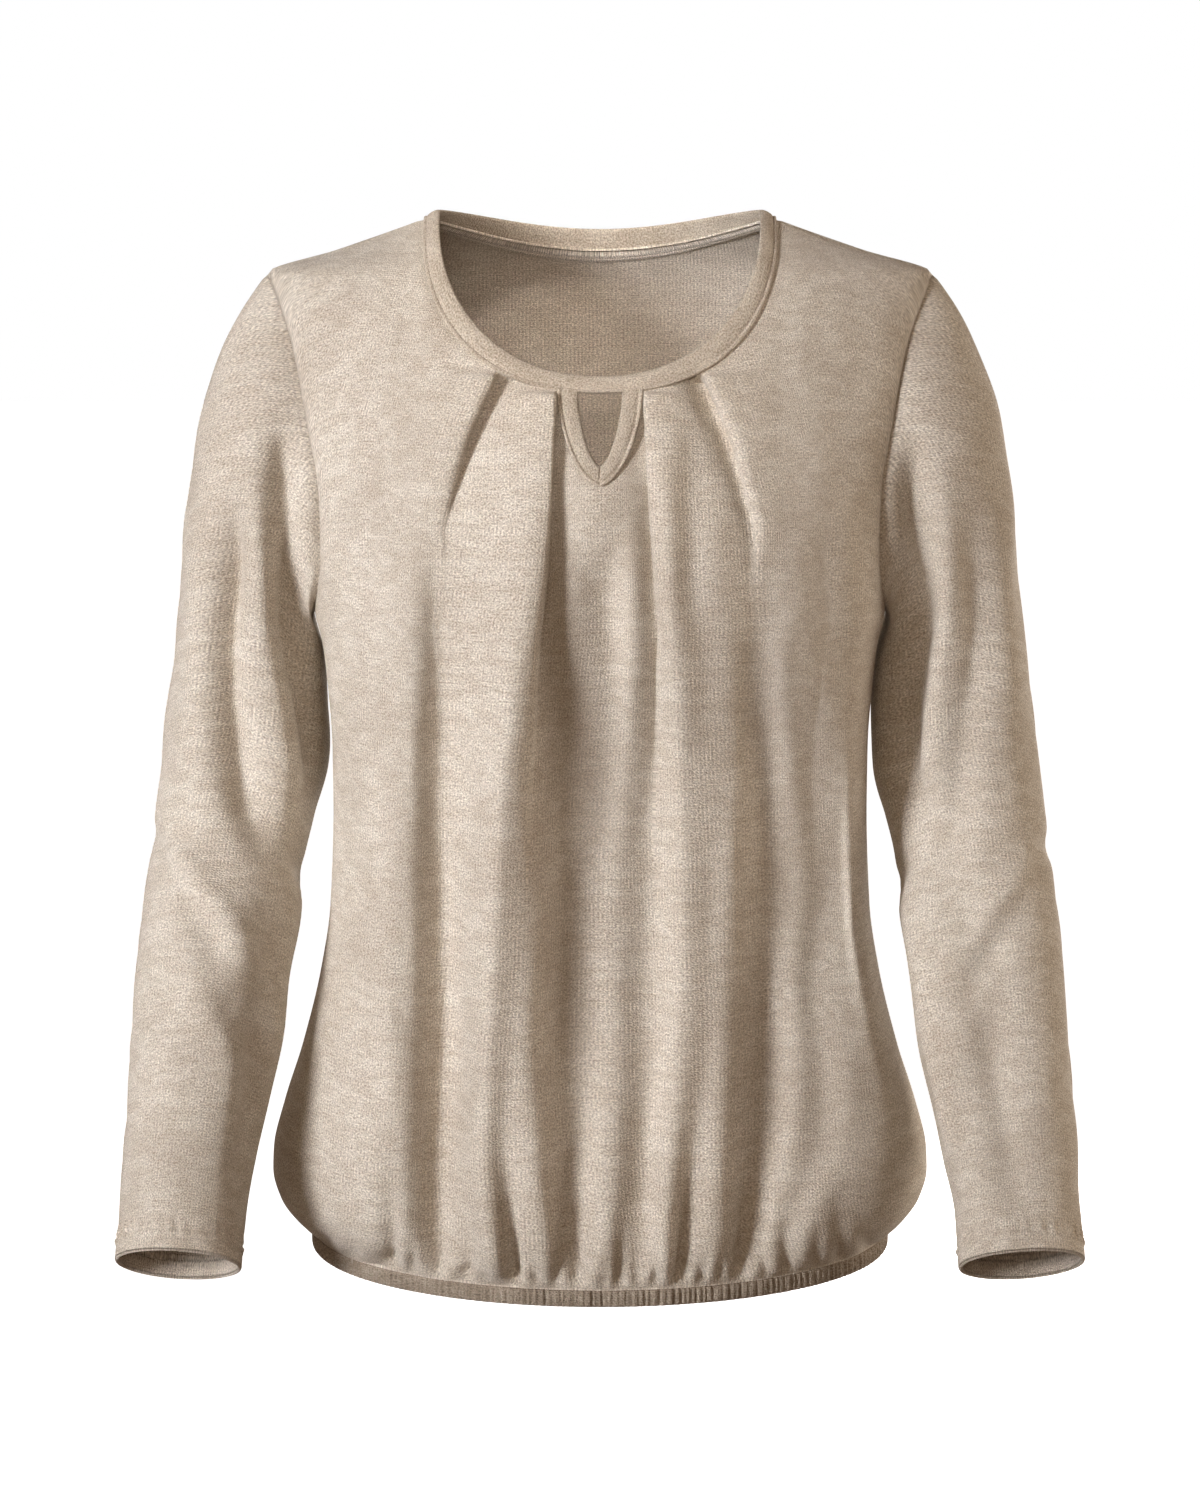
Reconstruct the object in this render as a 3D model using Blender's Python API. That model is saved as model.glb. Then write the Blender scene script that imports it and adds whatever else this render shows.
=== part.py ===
"""Blouson top in brushed marled knit, in the hollow form of a worn garment, with no wearer.

Metres, +Z up. The front faces -Y and +X is the wearer's left. The origin lies midway between
the two points where the shoulder seams meet the neck, which is where a wearer holds it up.

Each piece is a wall of cloth with its own thickness. The panels are grids: columns run from
the hem up to the neck or the shoulder seam, and rows run from side seam to side seam.
Neighbouring pieces take their shared edge from the same points, moved apart by the seam gap.
"""
import math
from collections import namedtuple

import bmesh
import bpy
import numpy as np

# ---------------------------------------------------------------- driving sizes
CLOTH = 0.0016              # wall of the brushed knit
SEAM_GAP = 0.0003           # clear space between two pieces at a seam
SEAM_BACK = 0.55 * SEAM_GAP  # each of the two edges stands back from the seam by this

NECK_HALF_WIDTH = 0.1037    # neck seam, from the middle to its widest
NECK_FRONT_DROP = 0.0975    # neck seam, from its side points down to the centre front
NECK_BACK_DROP = 0.0205
NECK_FRONT_POWER = 2.35
NECK_BACK_POWER = 2.0
NECK_BACK_FLATNESS = 2.4    # the back neck keeps its height towards the sides

BAND_THICKNESS = 0.0030     # neck band and keyhole binding, folded double
BAND_HALF_WIDTH = 0.0945    # free upper edge of the neck band
BAND_SIDE_HEIGHT = 0.0015
BAND_FRONT_HEIGHT = -0.0917
BAND_BACK_HEIGHT = -0.0108
BAND_FRONT_REACH = 0.0860   # how far the free edge lies before and behind the origin
BAND_BACK_REACH = 0.0600
BAND_POWER = 2.15
BAND_BACK_FLATNESS = 2.8

NOTCH_HALF_WIDTH = 0.0247   # cut of the front round the keyhole
NOTCH_DEPTH = 0.0535
KEYHOLE_HALF_WIDTH = 0.0128
KEYHOLE_DEPTH = 0.0410
KEYHOLE_POWER = 1.80        # below 2 gives the drop its pointed foot
BINDING_END_GAP = 0.0006    # between the binding's ends and the neck band
NOTCH_STEPS = (-0.66, -0.33, 0.0, 0.33, 0.66)   # points of the band over the keyhole

SHOULDER_HALF_WIDTH = 0.1970
SHOULDER_LEVEL = -0.0360
SEAM_FORWARD_NECK = 0.0020  # the shoulder seam lies before the crest of the shoulder
SEAM_FORWARD_ARM = 0.0090
SEAM_FORWARD_REACH = 0.0400
ARMPIT_LEVEL = -0.2350

HEM_LEVEL = -0.6125         # where the panels join the casing, at the side seams
HEM_FRONT_DROOP = 0.0090    # the hem hangs lower at the centre front
HEM_BACK_DROOP = 0.0020
DROOP_START = -0.4500
CASING_HEIGHT = 0.0100
CASING_THICKNESS = 0.0034

# How far in from an edge of a panel the long folds come up to their full height.
FOLD_FROM_SIDE = 0.12       # as a share of the half width
FOLD_FROM_NECK = 0.080
FOLD_FROM_HEM = 0.025

# ---------------------------------------------------------------- tables
# Torso sections, top to bottom. Depths run before and behind the crest of the shoulders, and
# power is the exponent of the rounded section: 2 for an ellipse, more for a fuller one.
Torso = namedtuple("Torso", "level half_width front_depth back_depth power")
TORSO = (
    Torso(0.0030, 0.0820, 0.006, 0.010, 2.25),
    Torso(-0.0013, 0.0970, 0.012, 0.020, 2.25),
    Torso(-0.0113, 0.1250, 0.028, 0.045, 2.25),
    Torso(-0.0213, 0.1540, 0.041, 0.061, 2.25),
    Torso(-0.0360, 0.1970, 0.055, 0.074, 2.25),
    Torso(-0.070, 0.1935, 0.077, 0.090, 2.25),
    Torso(-0.105, 0.1900, 0.091, 0.099, 2.25),
    Torso(-0.165, 0.1785, 0.110, 0.105, 2.25),
    Torso(-0.200, 0.1725, 0.116, 0.105, 2.25),
    Torso(-0.235, 0.1700, 0.120, 0.103, 2.25),
    Torso(-0.254, 0.1655, 0.121, 0.101, 2.25),
    Torso(-0.285, 0.1622, 0.120, 0.098, 2.25),
    Torso(-0.315, 0.1603, 0.118, 0.096, 2.20),
    Torso(-0.350, 0.1600, 0.115, 0.095, 2.20),
    Torso(-0.411, 0.1622, 0.113, 0.096, 2.20),
    Torso(-0.450, 0.1680, 0.114, 0.100, 2.15),
    Torso(-0.500, 0.1805, 0.120, 0.108, 2.10),
    Torso(-0.535, 0.1918, 0.128, 0.117, 2.05),
    Torso(-0.560, 0.1978, 0.132, 0.122, 2.05),
    Torso(-0.575, 0.1985, 0.133, 0.123, 2.00),
    Torso(-0.590, 0.1945, 0.131, 0.121, 2.00),
    Torso(-0.600, 0.1875, 0.127, 0.117, 2.00),
    Torso(-0.6125, 0.1740, 0.118, 0.108, 1.98),
)

# The armhole's distance from the middle, on the front and on the back.
Armhole = namedtuple("Armhole", "level front_x back_x")
ARMHOLE = (
    Armhole(-0.0360, 0.1970, 0.1970),
    Armhole(-0.0500, 0.1905, 0.1925),
    Armhole(-0.0735, 0.1817, 0.1850),
    Armhole(-0.1190, 0.1724, 0.1775),
    Armhole(-0.1655, 0.1650, 0.1725),
    Armhole(-0.2010, 0.1645, 0.1700),
    Armhole(-0.2200, 0.1668, 0.1697),
    Armhole(-0.2350, 0.1700, 0.1700),
)

# Columns of the right half of a panel. top_x is on the neck or shoulder seam; share is the
# column's part of the half width lower down; reach is how far down it still turns towards
# that share; count is the number of columns from the row before.
Guide = namedtuple("Guide", "name top_x share reach count")
FRONT_GUIDES = (
    Guide("centre", 0.0, 0.0, 0.27, 0),
    Guide("inner pleat", NOTCH_HALF_WIDTH, 0.265, 0.27, 5),
    Guide("outer pleat foot", 0.0560, 0.530, 0.14, 4),
    Guide("outer pleat edge", 0.0580, 0.570, 0.14, 1),
    Guide("neck point", NECK_HALF_WIDTH, 0.800, 0.16, 5),
    Guide("shoulder point", SHOULDER_HALF_WIDTH, 1.0, 0.20, 5),
)
BACK_GUIDES = (
    Guide("centre", 0.0, 0.0, 0.20, 0),
    Guide("neck point", NECK_HALF_WIDTH, 0.800, 0.16, 8),
    Guide("shoulder point", SHOULDER_HALF_WIDTH, 1.0, 0.20, 5),
)

COLUMN_FADE = 1.3           # power of the columns' turn from top_x towards their share
SHOULDER_SPREAD = 1.6       # crowds the shoulder's columns towards the armhole

# Rows, as shares of the way from a column's top to the hem. One row passes the armpit.
UPPER_ROWS = (0.0, 0.005, 0.016, 0.036, 0.066, 0.106, 0.156, 0.215, 0.278)
LOWER_ROWS = (0.43, 0.52, 0.61, 0.69, 0.76, 0.82, 0.875, 0.925, 0.965, 1.0)
BACK_FIRST_ROW = 0.002      # a first row of the back, this far under its neck seam
BACK_UPPER_ROWS = (0.0, 0.02, 0.07, 0.15, 0.27, 0.42, 0.60, 0.80, 1.0)

# Knife pleats of the front: where each folded edge meets the neck, its height, how far down
# it stands and how wide the folded cloth is. Their edges face the centre.
Pleat = namedtuple("Pleat", "side top_x share reach height length width")
PLEATS = (
    Pleat(-1, 0.0247, 0.265, 0.27, 0.0042, 0.30, 0.026),
    Pleat(+1, 0.0247, 0.265, 0.27, 0.0042, 0.30, 0.026),
    Pleat(-1, 0.0580, 0.570, 0.14, 0.0040, 0.11, 0.024),
    Pleat(+1, 0.0580, 0.570, 0.14, 0.0040, 0.13, 0.024),
)
PLEAT_RISE = 0.0100         # a pleat reaches its full height this far below the neck
PLEAT_LIP = 0.0014          # its folded edge overhangs the cloth beside it by this
PLEAT_STEP = 0.0012         # width of the step up to the edge

# Long soft folds of the front and back: their x, then their height, at four levels.
FOLD_LEVELS = (-0.150, -0.300, -0.450, -0.585)
Fold = namedtuple("Fold", "x1 x2 x3 x4 h1 h2 h3 h4 half_width")
FRONT_FOLDS = (
    Fold(-0.135, -0.135, -0.138, -0.142, 0.000, 0.003, 0.004, 0.005, 0.030),
    Fold(-0.098, -0.097, -0.103, -0.098, 0.000, -0.004, -0.006, -0.006, 0.021),
    Fold(-0.043, -0.050, -0.070, -0.065, 0.001, 0.005, 0.007, 0.006, 0.022),
    Fold(-0.022, -0.024, -0.026, -0.022, -0.001, -0.005, -0.006, -0.005, 0.017),
    Fold(0.013, 0.010, 0.008, 0.004, 0.001, 0.001, 0.003, 0.005, 0.015),
    Fold(0.022, 0.026, 0.024, 0.012, -0.001, -0.005, -0.004, -0.002, 0.012),
    Fold(0.036, 0.042, 0.043, 0.030, 0.000, 0.005, 0.007, 0.006, 0.016),
    Fold(0.052, 0.068, 0.069, 0.058, 0.000, -0.004, -0.005, -0.004, 0.017),
    Fold(0.092, 0.092, 0.095, 0.088, 0.000, -0.003, -0.005, -0.006, 0.016),
    Fold(0.106, 0.112, 0.131, 0.130, 0.001, 0.003, 0.005, 0.005, 0.022),
)
BACK_FOLDS = (
    Fold(-0.120, -0.125, -0.132, -0.138, 0.001, 0.003, 0.004, 0.005, 0.026),
    Fold(-0.085, -0.084, -0.090, -0.092, -0.001, -0.003, -0.005, -0.006, 0.020),
    Fold(-0.048, -0.050, -0.055, -0.050, 0.001, 0.003, 0.005, 0.006, 0.022),
    Fold(-0.004, -0.006, -0.003, 0.002, -0.001, -0.003, -0.004, -0.004, 0.022),
    Fold(0.040, 0.044, 0.049, 0.047, 0.001, 0.003, 0.005, 0.006, 0.020),
    Fold(0.082, 0.086, 0.088, 0.090, -0.001, -0.003, -0.005, -0.006, 0.020),
    Fold(0.118, 0.124, 0.133, 0.137, 0.001, 0.003, 0.004, 0.005, 0.026),
)
GATHERS = (11, 8)           # small gathers over the casing, on the front and on the back
GATHER_HEIGHT = 0.0016
GATHER_REACH = 0.060        # how far they run up from the casing
GATHER_DRIFT = 0.9          # how unevenly they are spaced
GATHER_DRIFT_RATE = 5.0

# Left sleeve, from under the armpit to the wrist: middle of the tube and its half sizes.
Ring = namedtuple("Ring", "level x y half_width half_depth")
SLEEVE = (
    Ring(-0.264, 0.2112, 0.018, 0.0453, 0.0560),
    Ring(-0.292, 0.2119, 0.019, 0.0483, 0.0560),
    Ring(-0.325, 0.2141, 0.017, 0.0501, 0.0545),
    Ring(-0.352, 0.2192, 0.011, 0.0478, 0.0525),
    Ring(-0.380, 0.2236, 0.001, 0.0462, 0.0500),
    Ring(-0.410, 0.2262, -0.013, 0.0473, 0.0480),
    Ring(-0.442, 0.2298, -0.028, 0.0463, 0.0460),
    Ring(-0.478, 0.2332, -0.045, 0.0447, 0.0435),
    Ring(-0.512, 0.2368, -0.062, 0.0425, 0.0405),
    Ring(-0.545, 0.2410, -0.079, 0.0397, 0.0375),
    Ring(-0.578, 0.2444, -0.095, 0.0369, 0.0350),
    Ring(-0.607, 0.2462, -0.111, 0.0365, 0.0335),
)
CAP_ROWS = (0.0, 0.05, 0.13, 0.25, 0.42, 0.62, 0.82)
CAP_OUTWARD = 0.36          # how far the cap leaves the armhole sideways
CAP_ROUND = 0.35            # and how much it rounds to the front and the back
CAP_ONWARD = 0.6            # and how much it heads straight for the tube
CAP_DROP = 0.15             # its way outwards also leads down by this share
CAP_PULL = 0.36             # length of the curve's handles, as a share of its span
AXIS_REACH = 0.012          # the arm's direction is taken over this length either way
BY_DISTANCE = 0.6           # columns round the arm: evenly by distance, the rest by count
CREASE_FROM_ARMHOLE = 0.04  # creases reach their full height this far from the seam
ARM_RADIUS = 0.048          # turns an angle round the arm into a distance
ARMHOLE_EASING = 3          # rounds of smoothing of the edge's normals along the armhole
WRIST_HEM_WALL = 0.0026     # the turned hem at the wrist is thicker

# Creases of a sleeve: level and angle round the arm at both ends, height and half width.
# Angle 0 is the outside of the arm, 90 the front and 180 the side next to the body.
Crease = namedtuple("Crease", "z1 angle1 z2 angle2 height half_width")
CREASES = (
    Crease(-0.375, 35.0, -0.345, 110.0, -0.0035, 0.012),
    Crease(-0.355, 30.0, -0.440, 150.0, 0.0035, 0.014),
    Crease(-0.440, 60.0, -0.500, 130.0, -0.0030, 0.014),
    Crease(-0.180, 60.0, -0.330, 75.0, -0.0030, 0.013),
    Crease(-0.190, 100.0, -0.320, 105.0, 0.0025, 0.012),
    Crease(-0.380, 250.0, -0.400, 320.0, -0.0035, 0.014),
    Crease(-0.430, 230.0, -0.415, 310.0, 0.0030, 0.014),
)

OATMEAL = (0.58, 0.48, 0.38, 1.0)
OATMEAL_SHADE = (0.50, 0.41, 0.32, 1.0)
BAND_COLOUR = (0.54, 0.44, 0.35, 1.0)


# ---------------------------------------------------------------- curves
def along(rows, column, at):
    """One column of a table, read between its rows on a smooth curve that never overshoots."""
    ordered = sorted(rows)
    x = np.array([row[0] for row in ordered])
    y = np.array([getattr(row, column) for row in ordered])
    step = np.diff(x)
    slope = np.diff(y) / step
    tangent = np.concatenate(([slope[0]], np.zeros(len(slope) - 1), [slope[-1]]))
    same_sign = slope[:-1] * slope[1:] > 0
    low, high = slope[:-1][same_sign], slope[1:][same_sign]
    tangent[1:-1][same_sign] = 2 * low * high / (low + high)
    at = min(max(at, x[0]), x[-1])
    i = min(int(np.searchsorted(x, at, side="right")) - 1, len(step) - 1)
    t = (at - x[i]) / step[i]
    return float((1 + 2 * t) * (1 - t) ** 2 * y[i] + t * (1 - t) ** 2 * step[i] * tangent[i]
                 + t * t * (3 - 2 * t) * y[i + 1] + t * t * (t - 1) * step[i] * tangent[i + 1])


def smooth(t):
    t = min(max(t, 0.0), 1.0)
    return t * t * (3 - 2 * t)


def quarter(x, half_width, power):
    """Height of a rounded quarter curve over x: 1 at the middle, 0 at its half width."""
    share = min(abs(x) / half_width, 1.0)
    return (1 - share ** power) ** (1 / power)


def depth_share(x, level):
    return quarter(x, along(TORSO, "half_width", level), along(TORSO, "power", level))


def bisect(low, high, too_far):
    """The level between two levels where too_far changes from false to true."""
    for _ in range(40):
        middle = (low + high) / 2
        if too_far(middle):
            high = middle
        else:
            low = middle
    return (low + high) / 2


def crest_level(x):
    """Level of the crest of the shoulder, where front and back meet, over x."""
    return bisect(SHOULDER_LEVEL, TORSO[0].level,
                  lambda level: along(TORSO, "half_width", level) < abs(x))


def seam_forward(x):
    blend = smooth((abs(x) - NECK_HALF_WIDTH) / SEAM_FORWARD_REACH)
    return SEAM_FORWARD_NECK + (SEAM_FORWARD_ARM - SEAM_FORWARD_NECK) * blend


def side_x(level, face):
    """Half width of a panel: the side seam, and the armhole above the armpit."""
    if level < ARMPIT_LEVEL:
        return along(TORSO, "half_width", level)
    return along(ARMHOLE, "front_x" if face < 0 else "back_x", level)


def seam_level(x):
    """Level of the shoulder seam, a little before the crest."""
    forward = seam_forward(x)
    crest = crest_level(x)
    at_arm = abs(x) >= SHOULDER_HALF_WIDTH - 1e-6

    def reached(drop):
        level = crest - drop
        across = side_x(level, -1) if at_arm else abs(x)
        return along(TORSO, "front_depth", level) * depth_share(across, level) > forward

    return crest - bisect(0.0, SEAM_FORWARD_REACH, reached)


NECK_SIDE_LEVEL = seam_level(NECK_HALF_WIDTH)


def neck_level(x, face):
    if face < 0:
        return NECK_SIDE_LEVEL - NECK_FRONT_DROP * quarter(x, NECK_HALF_WIDTH, NECK_FRONT_POWER)
    dip = quarter(x, NECK_HALF_WIDTH, NECK_BACK_POWER) ** NECK_BACK_FLATNESS
    return NECK_SIDE_LEVEL - NECK_BACK_DROP * dip


def neck_angle(x, power):
    """Angle round the neck seam of the point over x: 0 at the centre, a right angle aside."""
    return math.asin(min(abs(x) / NECK_HALF_WIDTH, 1.0) ** (power / 2))


# ---------------------------------------------------------------- torso panels
Column = namedtuple("Column", "top_x top_level share reach")
Panel = namedtuple("Panel", "grid columns normals")
ARMPIT_ROW = len(UPPER_ROWS)


def columns_of(guides, face):
    """Columns from the middle of a panel out to its side, from the guide table."""
    columns = [Column(0.0, neck_level(0.0, face), 0.0, guides[0].reach)]
    for before, after in zip(guides, guides[1:]):
        for i in range(1, after.count + 1):
            t = i / after.count
            top_x = before.top_x + (after.top_x - before.top_x) * t
            share = before.share + (after.share - before.share) * t
            if after.name == "shoulder point":
                share = after.share - (after.share - before.share) * (1 - t) ** SHOULDER_SPREAD
            if before.name == "centre" and face < 0:
                top_x = after.top_x * math.sin(t * math.pi / 2)
            elif after.name == "neck point":
                power = NECK_FRONT_POWER if face < 0 else NECK_BACK_POWER
                first = neck_angle(before.top_x, power)
                angle = first + (math.pi / 2 - first) * t
                top_x = NECK_HALF_WIDTH * math.sin(angle) ** (2 / power)
            on_neck = top_x <= NECK_HALF_WIDTH + 1e-9
            level = neck_level(top_x, face) if on_neck else seam_level(top_x)
            reach = before.reach + (after.reach - before.reach) * t
            columns.append(Column(top_x, level, share, reach))
    if face < 0:
        columns = [notched(column) for column in columns]
    mirrored = [column._replace(top_x=-column.top_x, share=-column.share)
                for column in columns[:0:-1]]
    return mirrored + columns


def notched(column):
    """The column cut off by the notch round the keyhole, where it runs into it."""
    if column.top_x >= NOTCH_HALF_WIDTH - 1e-9:
        return column
    corner = neck_level(NOTCH_HALF_WIDTH, -1)
    return column._replace(
        top_level=corner - NOTCH_DEPTH * quarter(column.top_x, NOTCH_HALF_WIDTH, 2.0))


def column_x(column, level, face):
    if abs(column.share) >= 1:
        return column.share * side_x(level, face)
    at_top = column.share * side_x(column.top_level, face)
    fade = max(1 - (column.top_level - level) / column.reach, 0.0) ** COLUMN_FADE
    return column.share * side_x(level, face) + (column.top_x - at_top) * min(fade, 1.0)


def droop(x, level, face):
    """How much lower the cloth hangs near the hem, towards the middle of a panel."""
    amount = HEM_FRONT_DROOP if face < 0 else HEM_BACK_DROOP
    ramp = smooth((DROOP_START - level) / (DROOP_START - HEM_LEVEL))
    return amount * ramp * quarter(x, along(TORSO, "half_width", level), 2.0)


def torso_point(x, level, face):
    depth = along(TORSO, "front_depth" if face < 0 else "back_depth", level)
    return np.array((x, face * depth * depth_share(x, level), level - droop(x, level, face)))


def levels_of(column, face):
    """Levels of a column's rows, from its top to the hem."""
    full = column.top_level - HEM_LEVEL
    side_top = seam_level(SHOULDER_HALF_WIDTH)
    armpit_row = (side_top - ARMPIT_LEVEL) / (side_top - HEM_LEVEL)
    lower = [column.top_level - full * share for share in LOWER_ROWS]
    armpit = column.top_level - full * armpit_row
    if face < 0:
        return [column.top_level - full * share for share in UPPER_ROWS] + [armpit] + lower
    over = abs(column.top_x) >= NECK_HALF_WIDTH - 1e-9
    first = crest_level(column.top_x) if over else column.top_level - BACK_FIRST_ROW
    upper = [first - (first - armpit) * share for share in BACK_UPPER_ROWS]
    return [column.top_level] + upper + lower


def panel_grid(guides, face):
    """Plain outer surface of a panel, as rows of points, and its columns."""
    columns = columns_of(guides, face)
    points = []
    for column in columns:
        levels = levels_of(column, face)
        line = [torso_point(column_x(column, level, face), level, face) for level in levels]
        if face > 0 and abs(column.top_x) >= NECK_HALF_WIDTH - 1e-9:
            line[0] = torso_point(column_x(column, column.top_level, -1), column.top_level, -1)
        points.append(line)
    return np.array(points).transpose(1, 0, 2), columns


def normals_of(grid, closed=False):
    """Unit normals of a grid of points. closed says that its columns run all the way round."""
    if closed:
        across = np.roll(grid, -1, axis=1) - np.roll(grid, 1, axis=1)
    else:
        across = np.gradient(grid, axis=1)
    down = np.gradient(grid, axis=0)
    normals = np.cross(across, down)
    return normals / np.linalg.norm(normals, axis=2, keepdims=True)


def fold_height(folds, x, z):
    """Summed height of the long folds at a point, read at their four levels."""
    total = 0.0
    levels = FOLD_LEVELS[::-1]
    for fold in folds:
        middle = np.interp(z, levels, (fold.x4, fold.x3, fold.x2, fold.x1))
        height = np.interp(z, levels, (fold.h4, fold.h3, fold.h2, fold.h1))
        total += height * math.exp(-((x - middle) / fold.half_width) ** 2)
    return total


def pleat_height(x, level):
    """Height of the knife pleats: a step up at the folded edge, easing off outwards."""
    total = 0.0
    for pleat in PLEATS:
        top = neck_level(pleat.top_x, -1)
        edge = column_x(Column(pleat.top_x, top, pleat.share, pleat.reach), level, -1)
        outward = x * pleat.side - edge
        down = top - level
        height = pleat.height * smooth(down / PLEAT_RISE) * (1 - smooth(down / pleat.length))
        step = smooth((outward + PLEAT_LIP) / PLEAT_STEP)
        total += height * step * math.exp(-(max(outward, 0.0) / pleat.width) ** 2)
    return total


def gather_height(x, level, face):
    count = GATHERS[0] if face < 0 else GATHERS[1]
    up = (level - HEM_LEVEL) / GATHER_REACH
    share = x / along(TORSO, "half_width", level)
    wave = math.cos(count * math.pi * share
                    + GATHER_DRIFT * math.sin(GATHER_DRIFT_RATE * share + face))
    return GATHER_HEIGHT * wave * smooth(4 * up) * (1 - smooth(up))


def folded_panel(guides, face):
    """Outer surface of a panel with its pleats, folds and gathers."""
    plain, columns = panel_grid(guides, face)
    normals = normals_of(plain) * face
    folds = FRONT_FOLDS if face < 0 else BACK_FOLDS
    folded = plain.copy()
    for row, col in np.ndindex(plain.shape[:2]):
        x, _, z = plain[row, col]
        level = z + droop(x, z, face)
        from_side = smooth((1 - abs(columns[col].share)) / FOLD_FROM_SIDE)
        from_top = smooth((columns[col].top_level - level) / FOLD_FROM_NECK)
        from_hem = smooth((level - HEM_LEVEL) / FOLD_FROM_HEM)
        height = fold_height(folds, x, z) * from_side * from_top * from_hem
        height += gather_height(x, level, face) * from_side
        if face < 0:
            height += pleat_height(x, level)
        folded[row, col] += normals[row, col] * height
    return folded


# ---------------------------------------------------------------- solids
def solid(name, vertices, faces, colour):
    """Object of one closed body, faces turned outwards, with its own material."""
    mesh = bpy.data.meshes.new(name)
    mesh.from_pydata([tuple(map(float, v)) for v in vertices], [], faces)
    body = bmesh.new()
    body.from_mesh(mesh)
    bmesh.ops.recalc_face_normals(body, faces=body.faces)
    if body.calc_volume(signed=True) < 0:
        bmesh.ops.reverse_faces(body, faces=body.faces)
    body.to_mesh(mesh)
    body.free()
    mesh.shade_smooth()
    mesh.set_sharp_from_angle(angle=math.radians(50))
    material = bpy.data.materials.new(name)
    material.use_nodes = True
    shader = material.node_tree.nodes["Principled BSDF"]
    shader.inputs["Base Color"].default_value = colour
    shader.inputs["Roughness"].default_value = 0.92
    shader.inputs["Metallic"].default_value = 0.0
    mesh.materials.append(material)
    thing = bpy.data.objects.new(name, mesh)
    bpy.context.scene.collection.objects.link(thing)
    return thing


SPLIT_WAY = np.array((0.31, 1.0, 0.53))     # says which end of a rim quad its diagonal leaves


def wall(name, outer, inner, closed, colour):
    """Closed wall between two grids of points: both faces and the edges that join them."""
    rows, cols = outer.shape[:2]
    vertices = np.concatenate((outer.reshape(-1, 3), inner.reshape(-1, 3)))
    under = rows * cols
    last = cols if closed else cols - 1
    faces = []
    for r in range(rows - 1):
        for c in range(last):
            quad = (r * cols + c, r * cols + (c + 1) % cols,
                    (r + 1) * cols + (c + 1) % cols, (r + 1) * cols + c)
            faces.append(quad)
            faces.append(tuple(under + v for v in reversed(quad)))
    rim = [(r * cols + c, r * cols + (c + 1) % cols) for r in (0, rows - 1) for c in range(last)]
    if not closed:
        rim += [(r * cols + c, (r + 1) * cols + c) for c in (0, cols - 1)
                for r in range(rows - 1)]
    for a, b in rim:
        # both walls of a seam are split along the same diagonal, so that they stay parallel
        if np.dot(vertices[a] - vertices[b], SPLIT_WAY) < 0:
            faces += [(a, b, under + b), (a, under + b, under + a)]
        else:
            faces += [(a, b, under + a), (b, under + b, under + a)]
    return solid(name, vertices, faces, colour)


def strip(name, sections, closed, colour):
    """Solid of a folded strip: one closed section of points after another along its length."""
    count, corners = sections.shape[:2]
    faces = []
    for i in range(count if closed else count - 1):
        after = (i + 1) % count
        for k in range(corners):
            n = (k + 1) % corners
            faces.append((i * corners + k, i * corners + n, after * corners + n,
                          after * corners + k))
    if not closed:
        faces.append(tuple(range(corners)))
        faces.append(tuple((count - 1) * corners + k for k in reversed(range(corners))))
    return solid(name, sections.reshape(-1, 3), faces, colour)


def unit(vector):
    return vector / np.linalg.norm(vector, axis=-1, keepdims=True)


# Corners of a folded strip's section: share of its width, then height as a share of its
# thickness, where 0 is the level of the panel's outer surface.
BAND_SECTION = ((0.0, 0.30), (0.30, 0.42), (0.75, 0.38), (1.0, 0.10),
                (1.0, -0.36), (0.75, -0.58), (0.0, -0.58))
CASING_SECTION = ((0.0, 0.10), (0.25, 0.30), (0.75, 0.30), (1.0, 0.05), (1.0, -0.60),
                  (0.0, -0.60))

Line = namedtuple("Line", "seam free outward")


def strip_sections(line, corners, thickness):
    """Sections of a folded strip, from its seam line to its free edge."""
    across = line.free - line.seam
    start = line.seam + unit(across) * SEAM_BACK
    return np.array([[start[i] + across[i] * share + line.outward[i] * thickness * height
                      for share, height in corners] for i in range(len(line.seam))])


def outward_of(seam, free, closed):
    """Normals of a strip whose seam line runs from -X to +X across the front."""
    if closed:
        run = np.roll(seam, -1, axis=0) - np.roll(seam, 1, axis=0)
    else:
        run = np.gradient(seam, axis=0)
    return unit(np.cross(run, free - seam))


# ---------------------------------------------------------------- sleeves
def sleeve_ring(level, angles):
    """Points round the left sleeve at a level of its middle line."""
    def middle(at):
        return np.array((along(SLEEVE, "x", at), along(SLEEVE, "y", at), at))

    above = min(level + AXIS_REACH, SLEEVE[0].level)
    below = max(level - AXIS_REACH, SLEEVE[-1].level)
    axis = unit(middle(below) - middle(above))
    outside = unit(np.array((1.0, 0.0, 0.0)) - axis * axis[0])
    forward = np.cross(axis, outside)
    wide, deep = along(SLEEVE, "half_width", level), along(SLEEVE, "half_depth", level)
    return np.array([middle(level) + outside * wide * math.cos(angle)
                     + forward * deep * math.sin(angle) for angle in angles])


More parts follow.
